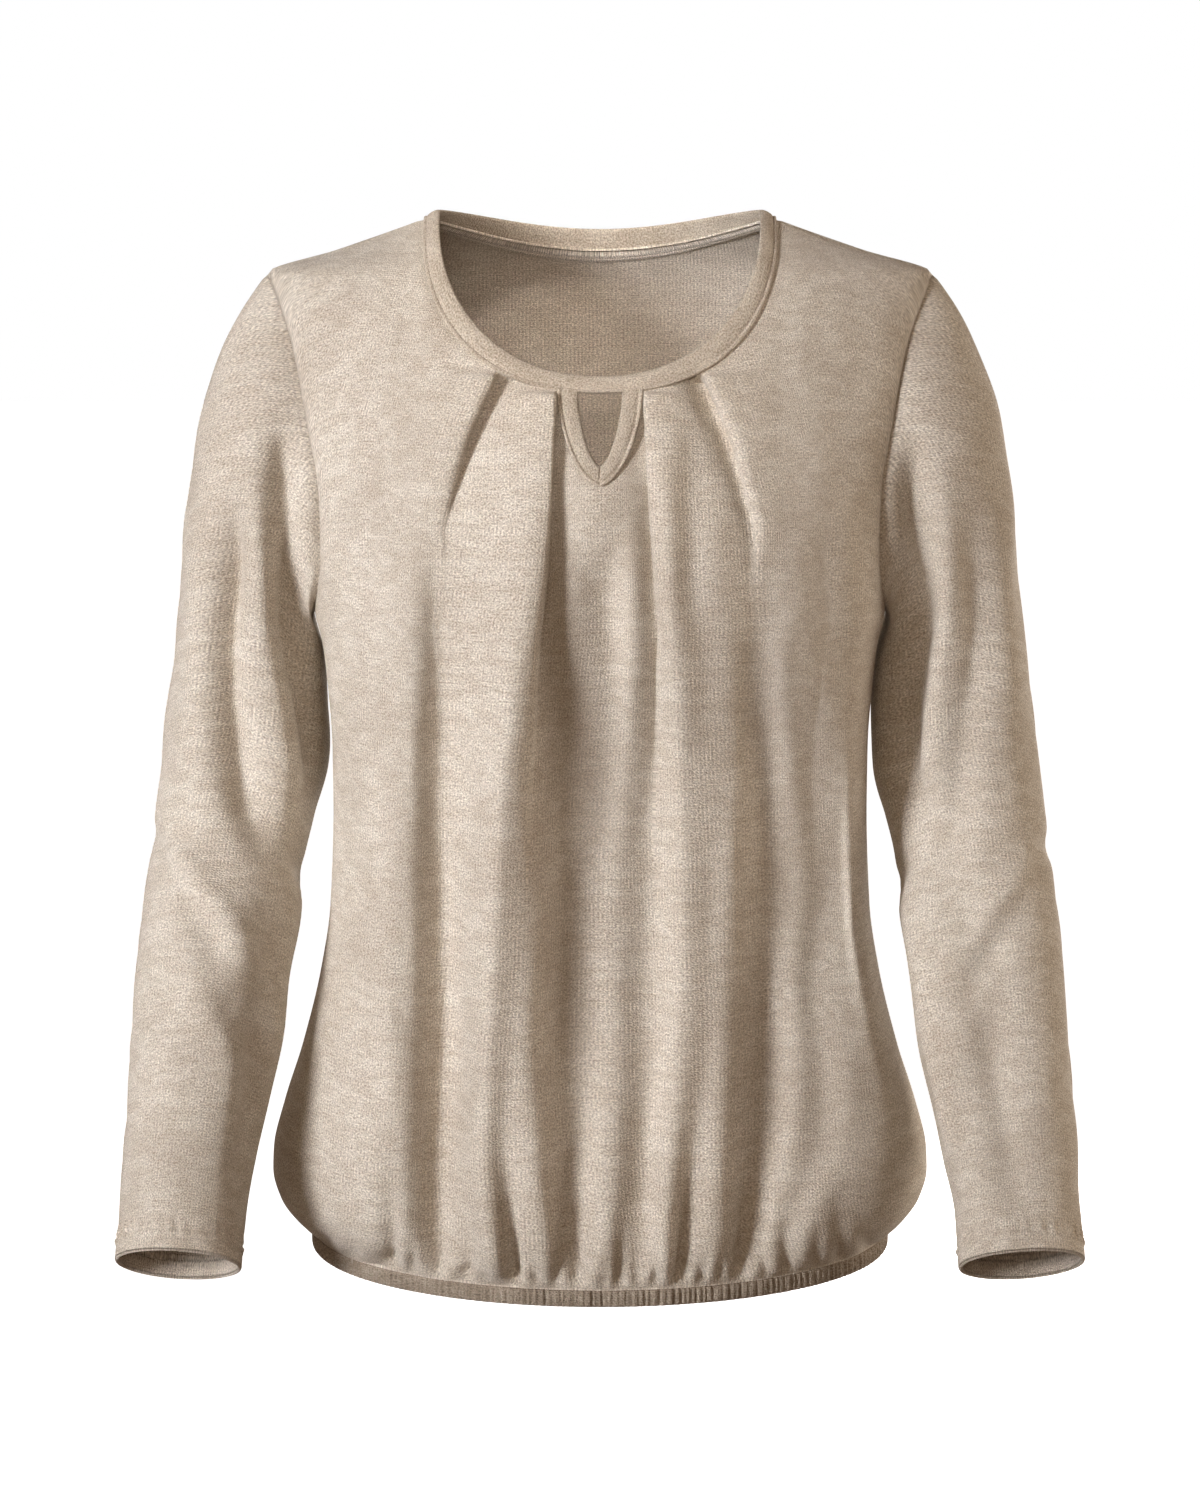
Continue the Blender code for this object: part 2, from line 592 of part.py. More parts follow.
def loop_angles(loop, armpit):
    """Angle round the arm of each point of the armhole, from the crest through the front."""
    ordered = np.roll(loop, 1, axis=0)
    steps = np.linalg.norm(np.roll(ordered, -1, axis=0) - ordered, axis=1)
    travelled = np.concatenate(([0.0], np.cumsum(steps)))
    count = len(loop)
    angles = []
    for i in range(count):
        place = i + 1
        if place <= armpit + 1:
            by_count = place / (armpit + 1)
            by_distance = travelled[place] / travelled[armpit + 1]
            share = by_count + (by_distance - by_count) * BY_DISTANCE
            angles.append(math.pi * share)
        else:
            left = travelled[count] - travelled[place]
            whole = travelled[count] - travelled[armpit + 1]
            by_count = (count - place) / (count - armpit - 1)
            share = by_count + (left / whole - by_count) * BY_DISTANCE
            angles.append(2 * math.pi - math.pi * share)
    return angles


def sleeve_grid(loop, angles):
    """Plain outer surface of the left sleeve: the cap from the armhole, then the tube."""
    first, second = sleeve_ring(SLEEVE[0].level, angles), sleeve_ring(SLEEVE[1].level, angles)
    outward = np.array((1.0, 0.0, -CAP_DROP))
    cap = []
    for start, end, beyond, angle in zip(loop, first, second, angles):
        span = np.linalg.norm(end - start)
        leave = unit((end - start) / span * CAP_ONWARD + outward * CAP_OUTWARD
                     + np.array((0.0, -math.sin(angle), 0.0)) * CAP_ROUND)
        pull = span * CAP_PULL
        handles = start, start + leave * pull, end - unit(beyond - end) * pull, end
        cap.append([sum(weight * handle for weight, handle in
                        zip(((1 - t) ** 3, 3 * t * (1 - t) ** 2, 3 * t * t * (1 - t), t ** 3),
                            handles)) for t in CAP_ROWS])
    tube = [sleeve_ring(ring.level, angles) for ring in SLEEVE]
    return np.concatenate((np.array(cap).transpose(1, 0, 2), np.array(tube)))


def crease_height(level, angle):
    """Summed height of the creases at a point of the sleeve."""
    total = 0.0
    for crease in CREASES:
        start = np.array((crease.z1, math.radians(crease.angle1) * ARM_RADIUS))
        end = np.array((crease.z2, math.radians(crease.angle2) * ARM_RADIUS))
        point = np.array((level, angle * ARM_RADIUS))
        run = end - start
        t = min(max(np.dot(point - start, run) / np.dot(run, run), 0.0), 1.0)
        apart = np.linalg.norm(point - start - run * t)
        total += crease.height * math.exp(-(apart / crease.half_width) ** 2)
    return total


# ---------------------------------------------------------------- neck, keyhole and hem
def neck_line(front, back):
    """Neck seam and the band's free edge, all the way round from the keyhole's left corner."""
    across = [NOTCH_HALF_WIDTH * share for share in NOTCH_STEPS]
    bridge = [torso_point(x, neck_level(x, -1), -1) for x in across]
    front_right = [i for i, c in enumerate(front.columns)
                   if NOTCH_HALF_WIDTH - 1e-9 <= c.top_x <= NECK_HALF_WIDTH + 1e-9]
    front_left = [i for i, c in enumerate(front.columns)
                  if -NECK_HALF_WIDTH - 1e-9 <= c.top_x <= 1e-9 - NOTCH_HALF_WIDTH]
    behind = [i for i, c in enumerate(back.columns) if abs(c.top_x) < NECK_HALF_WIDTH - 1e-9]
    seam = np.array(bridge + [front.grid[0, i] for i in front_right]
                    + [back.grid[0, i] for i in reversed(behind)]
                    + [front.grid[0, i] for i in front_left])
    front_depth = abs(torso_point(0.0, neck_level(0.0, -1), -1)[1])
    back_depth = abs(torso_point(0.0, neck_level(0.0, 1), 1)[1])
    behind_places = range(len(bridge) + len(front_right),
                          len(bridge) + len(front_right) + len(behind))
    free = []
    for place, (x, y, _) in enumerate(seam):
        rear = place in behind_places
        power = NECK_BACK_POWER if rear else NECK_FRONT_POWER
        free_power = NECK_BACK_POWER if rear else BAND_POWER
        angle = neck_angle(x, power)
        end = BAND_BACK_HEIGHT if rear else BAND_FRONT_HEIGHT
        sink = BAND_BACK_FLATNESS if rear else 2 / free_power
        reach = BAND_BACK_REACH / back_depth if rear else BAND_FRONT_REACH / front_depth
        free.append((math.copysign(BAND_HALF_WIDTH * math.sin(angle) ** (2 / free_power), x),
                     y * reach, BAND_SIDE_HEIGHT
                     + (end - BAND_SIDE_HEIGHT) * max(math.cos(angle), 0.0) ** sink))
    free = np.array(free)
    line = Line(seam, free, outward_of(seam, free, True))
    first, second = len(bridge), len(bridge) + len(front_right)
    for col, place in zip(front_right, range(first, second)):
        front.normals[0, col] = line.outward[place]
    for col, place in zip(reversed(behind), range(second, second + len(behind))):
        back.normals[0, col] = line.outward[place]
    for col, place in zip(front_left, range(second + len(behind), len(seam))):
        front.normals[0, col] = line.outward[place]
    back.normals[0, behind[-1] + 1] = line.outward[second - 1]
    back.normals[0, behind[0] - 1] = line.outward[second + len(behind)]
    return line


def keyhole_line(front):
    """Notch edge of the front and the binding's free edge, down one side and up the other."""
    cols = [i for i, c in enumerate(front.columns) if abs(c.top_x) <= NOTCH_HALF_WIDTH + 1e-9]
    seam = front.grid[0, cols].copy()
    top = neck_level(KEYHOLE_HALF_WIDTH, -1)
    free = []
    for x, _, _ in seam:
        angle = math.asin(min(abs(x) / NOTCH_HALF_WIDTH, 1.0))
        power = 2 / KEYHOLE_POWER
        free_x = math.copysign(KEYHOLE_HALF_WIDTH * math.sin(angle) ** power, x)
        level = top - KEYHOLE_DEPTH * max(math.cos(angle), 0.0) ** power
        free.append(torso_point(free_x, level, -1))
    free = np.array(free)
    line = Line(seam, free, outward_of(seam, free, False))
    for place, col in list(enumerate(cols))[1:-1]:
        front.normals[0, col] = line.outward[place]
    for end in (0, -1):
        line.seam[end, 2] -= BINDING_END_GAP
        line.free[end, 2] -= BINDING_END_GAP
    return line


def hem_line(front, back):
    """Hem seam all the way round, and the casing's lower edge."""
    seam = np.concatenate((front.grid[-1], back.grid[-1, -2:0:-1]))
    free = seam - np.array((0.0, 0.0, CASING_HEIGHT))
    outward = -outward_of(seam, free, True)
    front.normals[-1] = outward[:len(front.grid[-1])]
    back.normals[-1, -2:0:-1] = outward[len(front.grid[-1]):]
    back.normals[-1, 0] = outward[0]
    back.normals[-1, -1] = outward[len(front.grid[-1]) - 1]
    return Line(seam, free, outward)


# ---------------------------------------------------------------- the pieces
def torso_normal(x, level, face):
    """Outward normal of the torso's surface, away from its crest and its side seams."""
    step = 0.0005
    over = torso_point(x + step, level, face) - torso_point(x - step, level, face)
    down = torso_point(x, level - step, face) - torso_point(x, level + step, face)
    return unit(np.cross(over, down)) * face


def share_side_normals(front, back, sleeve_normals):
    """Gives the pieces that meet at shoulder, side seam and armhole the same normals."""
    mirror = np.array((-1.0, 1.0, 1.0))
    shoulder = [i for i, c in enumerate(front.columns) if abs(c.top_x) > NECK_HALF_WIDTH + 1e-9]
    for col in shoulder:
        x, _, _ = front.grid[0, col]
        other = int(np.argmin(np.abs(back.grid[0, :, 0] - x)))
        normal = torso_normal(x, front.columns[col].top_level, -1)
        front.normals[0, col] = normal
        back.normals[0, other] = normal
    for panel in (front, back):
        for side, sign in ((0, -1.0), (-1, 1.0)):
            panel.normals[ARMPIT_ROW:-1, side] = (sign, 0.0, 0.0)
    own = np.concatenate((front.normals[:ARMPIT_ROW + 1, -1],
                          back.normals[ARMPIT_ROW - 1:0:-1, -1]))
    shared = unit(own + sleeve_normals)
    for _ in range(ARMHOLE_EASING):
        shared = unit(np.roll(shared, 1, axis=0) + 2 * shared + np.roll(shared, -1, axis=0))
    sleeve_normals[:] = shared
    for row in range(ARMPIT_ROW + 1):
        for panel, place in ((front, row), (back, -row)):
            normal = shared[ARMPIT_ROW] if row == ARMPIT_ROW else shared[place]
            panel.normals[row, -1] = normal
            panel.normals[row, 0] = normal * mirror


def seam_shift(grid):
    """Moves a panel's edges back by half the gap, so that its neighbours clear it."""
    shift = np.zeros_like(grid)
    half = SEAM_BACK
    shift[:, 0] += unit(grid[:, 1] - grid[:, 0]) * half
    shift[:, -1] += unit(grid[:, -2] - grid[:, -1]) * half
    shift[0] += unit(grid[1] - grid[0]) * half
    shift[-1] += unit(grid[-2] - grid[-1]) * half
    return shift


def make_panel(name, panel, guides, face, colour):
    outer = folded_panel(guides, face)
    normals = normals_of(outer) * face
    for edge in ((0, slice(None)), (-1, slice(None)), (slice(None), 0), (slice(None), -1)):
        normals[edge] = panel.normals[edge]
    outer = outer + seam_shift(outer)
    wall(name, outer, outer - normals * CLOTH, False, colour)


def make_sleeve(name, grid, armhole_normals, angles, side, colour):
    """A sleeve with its creases. side is 1 for the left one and -1 for its mirror image."""
    plain_normals = normals_of(grid, True)
    outer = grid.copy()
    for row, col in np.ndindex(grid.shape[:2]):
        away = np.linalg.norm(grid[row, col] - grid[0, col])
        height = crease_height(grid[row, col, 2], angles[col]) * smooth(away / CREASE_FROM_ARMHOLE)
        outer[row, col] += plain_normals[row, col] * height
    normals = normals_of(outer, True)
    normals[0] = armhole_normals
    outer[0] += unit(outer[1] - outer[0]) * SEAM_BACK
    thickness = np.full((len(outer), 1, 1), CLOTH)
    thickness[-2:] = WRIST_HEM_WALL
    inner = outer - normals * thickness
    turn = np.array((float(side), 1.0, 1.0))
    wall(name, outer * turn, inner * turn, True, colour)


def main():
    for thing in list(bpy.data.objects):
        bpy.data.objects.remove(thing, do_unlink=True)

    front_grid, front_columns = panel_grid(FRONT_GUIDES, -1)
    back_grid, back_columns = panel_grid(BACK_GUIDES, 1)
    front = Panel(front_grid, front_columns, normals_of(front_grid) * -1)
    back = Panel(back_grid, back_columns, normals_of(back_grid))

    loop = np.concatenate((front.grid[:ARMPIT_ROW + 1, -1], back.grid[ARMPIT_ROW - 1:0:-1, -1]))
    angles = loop_angles(loop, ARMPIT_ROW)
    sleeve = sleeve_grid(loop, angles)
    armhole_normals = normals_of(sleeve, True)[0]
    share_side_normals(front, back, armhole_normals)
    hem = hem_line(front, back)
    keyhole = keyhole_line(front)
    neck = neck_line(front, back)

    make_panel("front", front, FRONT_GUIDES, -1, OATMEAL)
    make_panel("back", back, BACK_GUIDES, 1, OATMEAL_SHADE)
    make_sleeve("sleeve_left", sleeve, armhole_normals, angles, 1, OATMEAL)
    make_sleeve("sleeve_right", sleeve, armhole_normals, angles, -1, OATMEAL)
    strip("neck_band", strip_sections(neck, BAND_SECTION, BAND_THICKNESS), True, BAND_COLOUR)
    strip("keyhole_binding", strip_sections(keyhole, BAND_SECTION, BAND_THICKNESS), False,
          BAND_COLOUR)
    strip("hem_casing", strip_sections(hem, CASING_SECTION, CASING_THICKNESS), True, BAND_COLOUR)


main()
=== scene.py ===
import math
from collections import namedtuple

import bpy
import numpy as np
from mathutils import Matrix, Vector


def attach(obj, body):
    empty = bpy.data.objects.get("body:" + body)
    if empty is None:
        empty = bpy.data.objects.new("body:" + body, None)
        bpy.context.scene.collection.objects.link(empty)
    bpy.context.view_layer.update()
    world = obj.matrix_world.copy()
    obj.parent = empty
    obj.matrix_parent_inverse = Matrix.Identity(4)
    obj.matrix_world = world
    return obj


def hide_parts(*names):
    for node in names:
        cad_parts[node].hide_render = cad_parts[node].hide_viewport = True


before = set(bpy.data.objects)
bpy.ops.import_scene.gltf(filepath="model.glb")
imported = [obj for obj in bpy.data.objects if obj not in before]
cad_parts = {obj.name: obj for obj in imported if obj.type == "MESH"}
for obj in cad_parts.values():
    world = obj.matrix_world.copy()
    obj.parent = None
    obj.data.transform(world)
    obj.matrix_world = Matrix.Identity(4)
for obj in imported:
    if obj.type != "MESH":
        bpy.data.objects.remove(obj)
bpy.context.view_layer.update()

# ---------------------------------------------------------------- photo studio
# A pale floor well below the garment, soft boxes at the left, the right, in front and behind,
# and a camera 2.6 m in front that looks down a little at the garment's middle.
CAMERA_DISTANCE = 2.6
CAMERA_ELEVATION = math.radians(8)
CAMERA_LENS = 104.0
LOOK_AT = Vector((0.0, 0.0, -0.32))
FLOOR_LEVEL = -1.30
KEY_COLOUR = (0.975, 0.985, 1.02)
NECK_COLOUR = (1.0, 0.91, 0.82)
GLOW_COLOUR, GLOW_STRENGTH = (1.0, 0.62, 0.37, 1.0), 0.11
WHITE = (1.0, 1.0, 1.0, 1.0)

bpy.ops.object.select_all(action="DESELECT")
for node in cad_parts.values():
    node.data.shade_smooth()

bpy.ops.object.camera_add(
    location=LOOK_AT + CAMERA_DISTANCE * Vector((0.0, -math.cos(CAMERA_ELEVATION),
                                                 math.sin(CAMERA_ELEVATION))),
    rotation=(math.pi / 2 - CAMERA_ELEVATION, 0.0, 0.0))
camera = bpy.context.object
camera.data.lens = CAMERA_LENS
camera.data.sensor_width = 36.0
bpy.context.scene.camera = camera

Light = namedtuple("Light", "name place aim size spread energy colour")
LIGHTS = (
    Light("upper key", (-2.30, -2.10, 0.50), (-0.17, 0.0, -0.12), 1.1, 30, 3.15, KEY_COLOUR),
    Light("lower key", (-2.30, -2.10, 0.15), (-0.17, 0.0, -0.46), 1.1, 24, 1.95, KEY_COLOUR),
    Light("side", (2.5, 0.15, 0.0), (0.25, 0.0, -0.25), 1.2, 180, 28.0, (1.0, 0.90, 0.79)),
    Light("behind", (1.3, 3.0, -0.4), (0.0, 0.0, -0.30), 1.0, 180, 56.0, (1.0, 0.96, 0.92)),
    Light("front", (-0.25, -3.3, 0.35), (0.0, 0.0, -0.30), 1.0, 180, 13.5, (1.0, 0.85, 0.70)),
    Light("neck", (-0.05, -2.40, 0.30), (0.0, 0.07, -0.065), 0.15, 8, 0.030, NECK_COLOUR),
    Light("top", (0.05, -1.20, 1.40), (-0.02, 0.075, -0.09), 0.12, 7, 0.045, NECK_COLOUR),
)
for light in LIGHTS:
    aim = Vector(light.aim) - Vector(light.place)
    bpy.ops.object.light_add(type="AREA", location=light.place,
                             rotation=aim.to_track_quat("-Z", "Y").to_euler())
    lamp = bpy.context.object
    lamp.name = light.name
    lamp.data.size = light.size
    lamp.data.spread = math.radians(light.spread)
    lamp.data.energy = light.energy
    lamp.data.color = light.colour

studio = bpy.data.worlds.new("studio")
bpy.context.scene.world = studio
studio.use_nodes = True
air = studio.node_tree
air.nodes.clear()
seen = air.nodes.new("ShaderNodeLightPath")
either = air.nodes.new("ShaderNodeMixShader")
sky = air.nodes.new("ShaderNodeOutputWorld")
air.links.new(seen.outputs["Is Camera Ray"], either.inputs[0])
for place, colour, strength in ((1, GLOW_COLOUR, GLOW_STRENGTH), (2, WHITE, 1.0)):
    backdrop = air.nodes.new("ShaderNodeBackground")
    backdrop.inputs["Color"].default_value = colour
    backdrop.inputs["Strength"].default_value = strength
    air.links.new(backdrop.outputs[0], either.inputs[place])
air.links.new(either.outputs[0], sky.inputs["Surface"])

bpy.ops.mesh.primitive_plane_add(size=40.0, location=(0.0, 0.0, FLOOR_LEVEL))
floor = bpy.context.object
floor.name = "floor"
floor.visible_diffuse = False
pale = bpy.data.materials.new("pale_floor")
pale.use_nodes = True
paint = pale.node_tree.nodes["Principled BSDF"].inputs
paint["Base Color"].default_value = (0.9, 0.9, 0.9, 1.0)
paint["Roughness"].default_value = 0.9
paint["Emission Color"].default_value = WHITE
paint["Emission Strength"].default_value = 1.0
floor.data.materials.append(pale)
bpy.context.scene.view_settings.view_transform = "Standard"

# ---------------------------------------------------------------- the knit
# Fine single jersey in oatmeal marl, brushed so that a soft nap stands on it. Light and dark
# fibres are carded together, which leaves short flecks along the rows of stitches.
KNIT_UV = "cloth"           # metres across the cloth and along its wales
STITCH = 1.5                # height of one stitch, in mm
STITCH_SLANT = 2.6          # how steeply the two arms of a stitch rise
WALE_WANDER = 6.0           # how far the wales stray from straight
WALE_SHADE = 0.055
ROW_SHADE = 0.050


def add(tree, kind, inputs, **settings):
    """A shader node. Each input is a value, or another node's output."""
    node = tree.nodes.new("ShaderNode" + kind)
    for key, value in settings.items():
        setattr(node, key, value)
    for key, value in inputs.items():
        if isinstance(value, bpy.types.NodeSocket):
            tree.links.new(value, node.inputs[key])
        else:
            node.inputs[key].default_value = value
    return node


def maths(tree, operation, a, b=0.0):
    return add(tree, "Math", {0: a, 1: b}, operation=operation).outputs[0]


def speckle(tree, place, across, along_it, detail=2.0, distortion=0.0):
    """Noise with spots of the given size in millimetres, across and along the wales."""
    scaled = add(tree, "Mapping", {"Vector": place, "Scale": (1000 / across, 1000 / along_it, 1)})
    return add(tree, "TexNoise", {"Vector": scaled.outputs[0], "Scale": 1.0, "Detail": detail,
                                  "Distortion": distortion}, noise_dimensions="2D").outputs[0]


def ramp(tree, value, low, high, to_low=0.0, to_high=1.0):
    return add(tree, "MapRange", {"Value": value, "From Min": low, "From Max": high,
                                  "To Min": to_low, "To Max": to_high}).outputs[0]


def tint(tree, kind, share, under, over):
    """Colour mixed over another by a share: both are colours or node outputs."""
    mix = add(tree, "Mix", {}, data_type="RGBA", blend_type=kind)
    for place, value in ((0, share), (6, under), (7, over)):
        if isinstance(value, bpy.types.NodeSocket):
            tree.links.new(value, mix.inputs[place])
        else:
            mix.inputs[place].default_value = value
    return mix.outputs[2]


def knit(name, light, middle, dark, wale, purl=False, ribs=1.0):
    """Marled knit: its three shades, the width of a wale in mm, and its purl side if wanted."""
    material = bpy.data.materials.new(name)
    material.use_nodes = True
    tree = material.node_tree
    tree.nodes.clear()
    uv = add(tree, "UVMap", {}, uv_map=KNIT_UV).outputs[0]
    clouds = speckle(tree, uv, 60, 75, 2.0)
    patches = speckle(tree, uv, 17, 7, 3.0, 0.5)
    flecks = speckle(tree, uv, 4.6, 1.5, 2.0, 0.4)
    grain = speckle(tree, uv, 1.15, 1.05, 1.5)
    drift = speckle(tree, uv, 9, 40, 2.0)
    split = add(tree, "SeparateXYZ", {"Vector": uv})
    rounds = maths(tree, "MULTIPLY", split.outputs[0], 2000 * math.pi / wale)
    bent = maths(tree, "ADD", rounds, maths(tree, "MULTIPLY", drift, WALE_WANDER))
    wales = maths(tree, "SINE", bent)
    climb = maths(tree, "MULTIPLY", split.outputs[1], 2000 * math.pi / STITCH)
    arms = maths(tree, "ABSOLUTE", maths(tree, "SINE", maths(tree, "MULTIPLY", bent, 0.5)))
    slant = maths(tree, "MULTIPLY", arms, STITCH_SLANT)
    rows = maths(tree, "SINE", maths(tree, "ADD", climb, slant))
    if purl:
        wales, rows = rows, wales
    colour = tint(tree, "MIX", ramp(tree, patches, 0.36, 0.64), middle, light)
    colour = tint(tree, "MIX", ramp(tree, flecks, 0.50, 0.78, 0.0, 0.42), colour, dark)
    colour = tint(tree, "MIX", ramp(tree, clouds, 0.42, 0.66, 0.0, 0.24), colour, dark)
    colour = tint(tree, "MULTIPLY", 1.0, colour, add(tree, "CombineXYZ", {
        i: ramp(tree, grain, 0.28, 0.72, low, high)
        for i, low, high in ((0, 0.66, 1.32), (1, 0.645, 1.335), (2, 0.63, 1.35))}).outputs[0])
    weave = maths(tree, "ADD", maths(tree, "MULTIPLY", wales, WALE_SHADE * ribs),
                  maths(tree, "MULTIPLY", rows, ROW_SHADE * ribs))
    shade = maths(tree, "ADD", weave, 1.0)
    colour = tint(tree, "MULTIPLY", 1.0, colour, add(tree, "CombineXYZ", {
        0: shade, 1: shade, 2: shade}).outputs[0])
    height = maths(tree, "ADD", maths(tree, "MULTIPLY", weave, 3.0),
                   maths(tree, "MULTIPLY", grain, 1.6))
    height = maths(tree, "ADD", height, maths(tree, "MULTIPLY", speckle(tree, uv, 7, 5, 2.0), 0.6))
    bump = add(tree, "Bump", {"Height": height, "Strength": 0.60, "Distance": 0.0006})
    shader = add(tree, "BsdfPrincipled", {
        "Base Color": colour, "Roughness": 0.96, "Normal": bump.outputs[0],
        "Specular IOR Level": 0.12, "Sheen Weight": 0.16, "Sheen Roughness": 0.5,
        "Sheen Tint": (1.0, 0.97, 0.93, 1.0)})
    add(tree, "OutputMaterial", {"Surface": shader.outputs[0]})
    return material


RIGHT_SIDE = knit("body_knit_right_side", (0.700, 0.640, 0.553, 1), (0.612, 0.542, 0.452, 1),
                  (0.365, 0.288, 0.212, 1), 2.3)
# Purl side inside the garment: partly its own reverse knit, partly painted light. It is drawn
# lighter than the right side to stand in for light reaching inside the neck and sleeves.
INNER_SIDE_PAINTED_LIGHT = knit("body_knit_inner_side_painted_light", (0.720, 0.645, 0.553, 1), (0.635, 0.557, 0.468, 1),
                  (0.440, 0.367, 0.290, 1), 2.3, purl=True, ribs=1.6)
COVER_STITCH = knit("cover_stitch", (0.820, 0.745, 0.655, 1), (0.760, 0.680, 0.590, 1),
                    (0.480, 0.405, 0.328, 1), 4.2, ribs=3.2)

# ---------------------------------------------------------------- the front
# The front is one panel of jersey, wider than the back. Four knife pleats at the neck take in
# the extra width, and below them it hangs in long soft folds into the gathered hem.
CLOTH = 0.0016
SEAM_GAP = 0.0003
SEAM_ROLL = 0.0008          # the cloth rolls in by this at a seam, over this width
SEAM_ROLL_WIDTH = 0.0022
ALLOWANCE_STEPS = (0.0007, 0.0015, 0.0028)
STITCH_RIDGE = 0.0014       # cover stitches inside the neck: their height and width
STITCH_WIDTH = 0.0075

NECK_HALF_WIDTH = 0.1037    # neck seam, from the middle to its widest
NECK_FRONT_DROP = 0.0975
NECK_BACK_DROP = 0.0205
NECK_FRONT_POWER = 2.35
NECK_BACK_POWER = 2.0
NECK_BACK_FLATNESS = 2.4
NOTCH_HALF_WIDTH = 0.0247   # cut of the front round the keyhole
NOTCH_DEPTH = 0.0535
NOTCH_POWER = 1.75          # below 2 gives it a pointed foot
SHOULDER_HALF_WIDTH = 0.1970
SHOULDER_LEVEL = -0.0360
SEAM_FORWARD_NECK = 0.0020  # the shoulder seam lies before the crest of the shoulder
SEAM_FORWARD_ARM = 0.0090
SEAM_FORWARD_REACH = 0.0400
ARMPIT_LEVEL = -0.2350
HEM_LEVEL = -0.6125
HEM_FRONT_DROOP = 0.0090    # the hem hangs lower at the centre front
HEM_BACK_DROOP = 0.0020
DROOP_START = -0.4500

# Torso sections, top to bottom: depths before and behind the crest of the shoulders, and the
# exponent of the rounded section.
Torso = namedtuple("Torso", "level half_width front_depth back_depth power")
TORSO = (
    Torso(0.0030, 0.0820, 0.006, 0.010, 2.25),
    Torso(-0.0013, 0.0970, 0.012, 0.020, 2.25),
    Torso(-0.0113, 0.1250, 0.028, 0.045, 2.25),
    Torso(-0.0213, 0.1540, 0.041, 0.061, 2.25),
    Torso(-0.0360, 0.1970, 0.055, 0.074, 2.25),
    Torso(-0.070, 0.1935, 0.077, 0.090, 2.25),
    Torso(-0.105, 0.1900, 0.091, 0.099, 2.25),
    Torso(-0.165, 0.1785, 0.110, 0.105, 2.25),
    Torso(-0.200, 0.1725, 0.116, 0.105, 2.25),
    Torso(-0.235, 0.1700, 0.120, 0.103, 2.25),
    Torso(-0.254, 0.1655, 0.121, 0.101, 2.25),
    Torso(-0.285, 0.1622, 0.120, 0.098, 2.25),
    Torso(-0.315, 0.1603, 0.118, 0.096, 2.20),
    Torso(-0.350, 0.1600, 0.115, 0.095, 2.20),
    Torso(-0.411, 0.1622, 0.113, 0.096, 2.20),
    Torso(-0.450, 0.1680, 0.114, 0.100, 2.15),
    Torso(-0.500, 0.1805, 0.120, 0.108, 2.10),
    Torso(-0.535, 0.1918, 0.128, 0.117, 2.05),
    Torso(-0.560, 0.1978, 0.132, 0.122, 2.05),
    Torso(-0.575, 0.1985, 0.133, 0.123, 2.00),
    Torso(-0.590, 0.1945, 0.131, 0.121, 2.00),
    Torso(-0.600, 0.1875, 0.127, 0.117, 2.00),
    Torso(-0.6125, 0.1740, 0.118, 0.108, 1.98),
)
Armhole = namedtuple("Armhole", "level front_x back_x")
ARMHOLE = (
    Armhole(-0.0360, 0.1970, 0.1970),
    Armhole(-0.0500, 0.1905, 0.1925),
    Armhole(-0.0735, 0.1817, 0.1850),
    Armhole(-0.1190, 0.1724, 0.1775),
    Armhole(-0.1655, 0.1650, 0.1725),
    Armhole(-0.2010, 0.1645, 0.1700),
    Armhole(-0.2200, 0.1668, 0.1697),
    Armhole(-0.2350, 0.1700, 0.1700),
)

# Columns of half a panel, from its middle: where each starts on the neck or shoulder seam, its
# share of the half width lower down, how far down it turns, and columns from the one before.
Guide = namedtuple("Guide", "name top_x share reach count")
FRONT_GUIDES = (
    Guide("centre", 0.0, 0.0, 0.27, 0),
    Guide("inner pleat", NOTCH_HALF_WIDTH, 0.265, 0.27, 22),
    Guide("outer pleat foot", 0.0560, 0.530, 0.10, 19),
    Guide("outer pleat edge", 0.0580, 0.570, 0.09, 9),
    Guide("neck point", NECK_HALF_WIDTH, 0.800, 0.16, 23),
    Guide("shoulder point", SHOULDER_HALF_WIDTH, 1.0, 0.20, 25),
)
COLUMN_FADE = 1.3
SHOULDER_SPREAD = 1.6
# Rows, as shares of the way down: to the armpit, then to the hem, and rows between each two.
UPPER_ROWS = (0.0, 0.005, 0.016, 0.036, 0.066, 0.106, 0.156, 0.215, 0.278)
LOWER_ROWS = (0.43, 0.52, 0.61, 0.69, 0.76, 0.82, 0.875, 0.925, 0.965, 1.0)
ROWS_ABOVE, ROWS_BELOW = 7, 12

# Knife pleats. Their folded edges face the centre and lap over the cloth beside them.
Pleat = namedtuple("Pleat", "name side top_x share reach height hollow length width lap")
PLEATS = (
    Pleat("right inner", -1, 0.0247, 0.265, 0.27, 0.0062, 0.0040, 0.36, 0.024, 0.0030),
    Pleat("left inner", +1, 0.0247, 0.265, 0.27, 0.0046, 0.0030, 0.30, 0.024, 0.0026),
    Pleat("right outer", -1, 0.0580, 0.570, 0.09, 0.0064, 0.0060, 0.120, 0.022, 0.0026),
    Pleat("left outer", +1, 0.0580, 0.570, 0.09, 0.0050, 0.0095, 0.135, 0.022, 0.0030),
)
PLEAT_RISE = 0.0040         # a pleat reaches its full height this far below the neck
PLEAT_HOLLOW_WIDTH = 0.0100
# The cloth round a folded edge, column by column from the edge towards the centre: how far
# outwards it lies, as a share of the lap, and its share of the height.
LIP = ((0, 0.00, 0.95), (-1, -0.14, 0.78), (-2, -0.08, 0.45), (-3, 0.50, 0.20), (-4, 0.90, 0.04))
LIP_SPREAD = 12             # columns over which the cloth under an edge is spread out again
LIP_FROM_SEAM = 0.0050

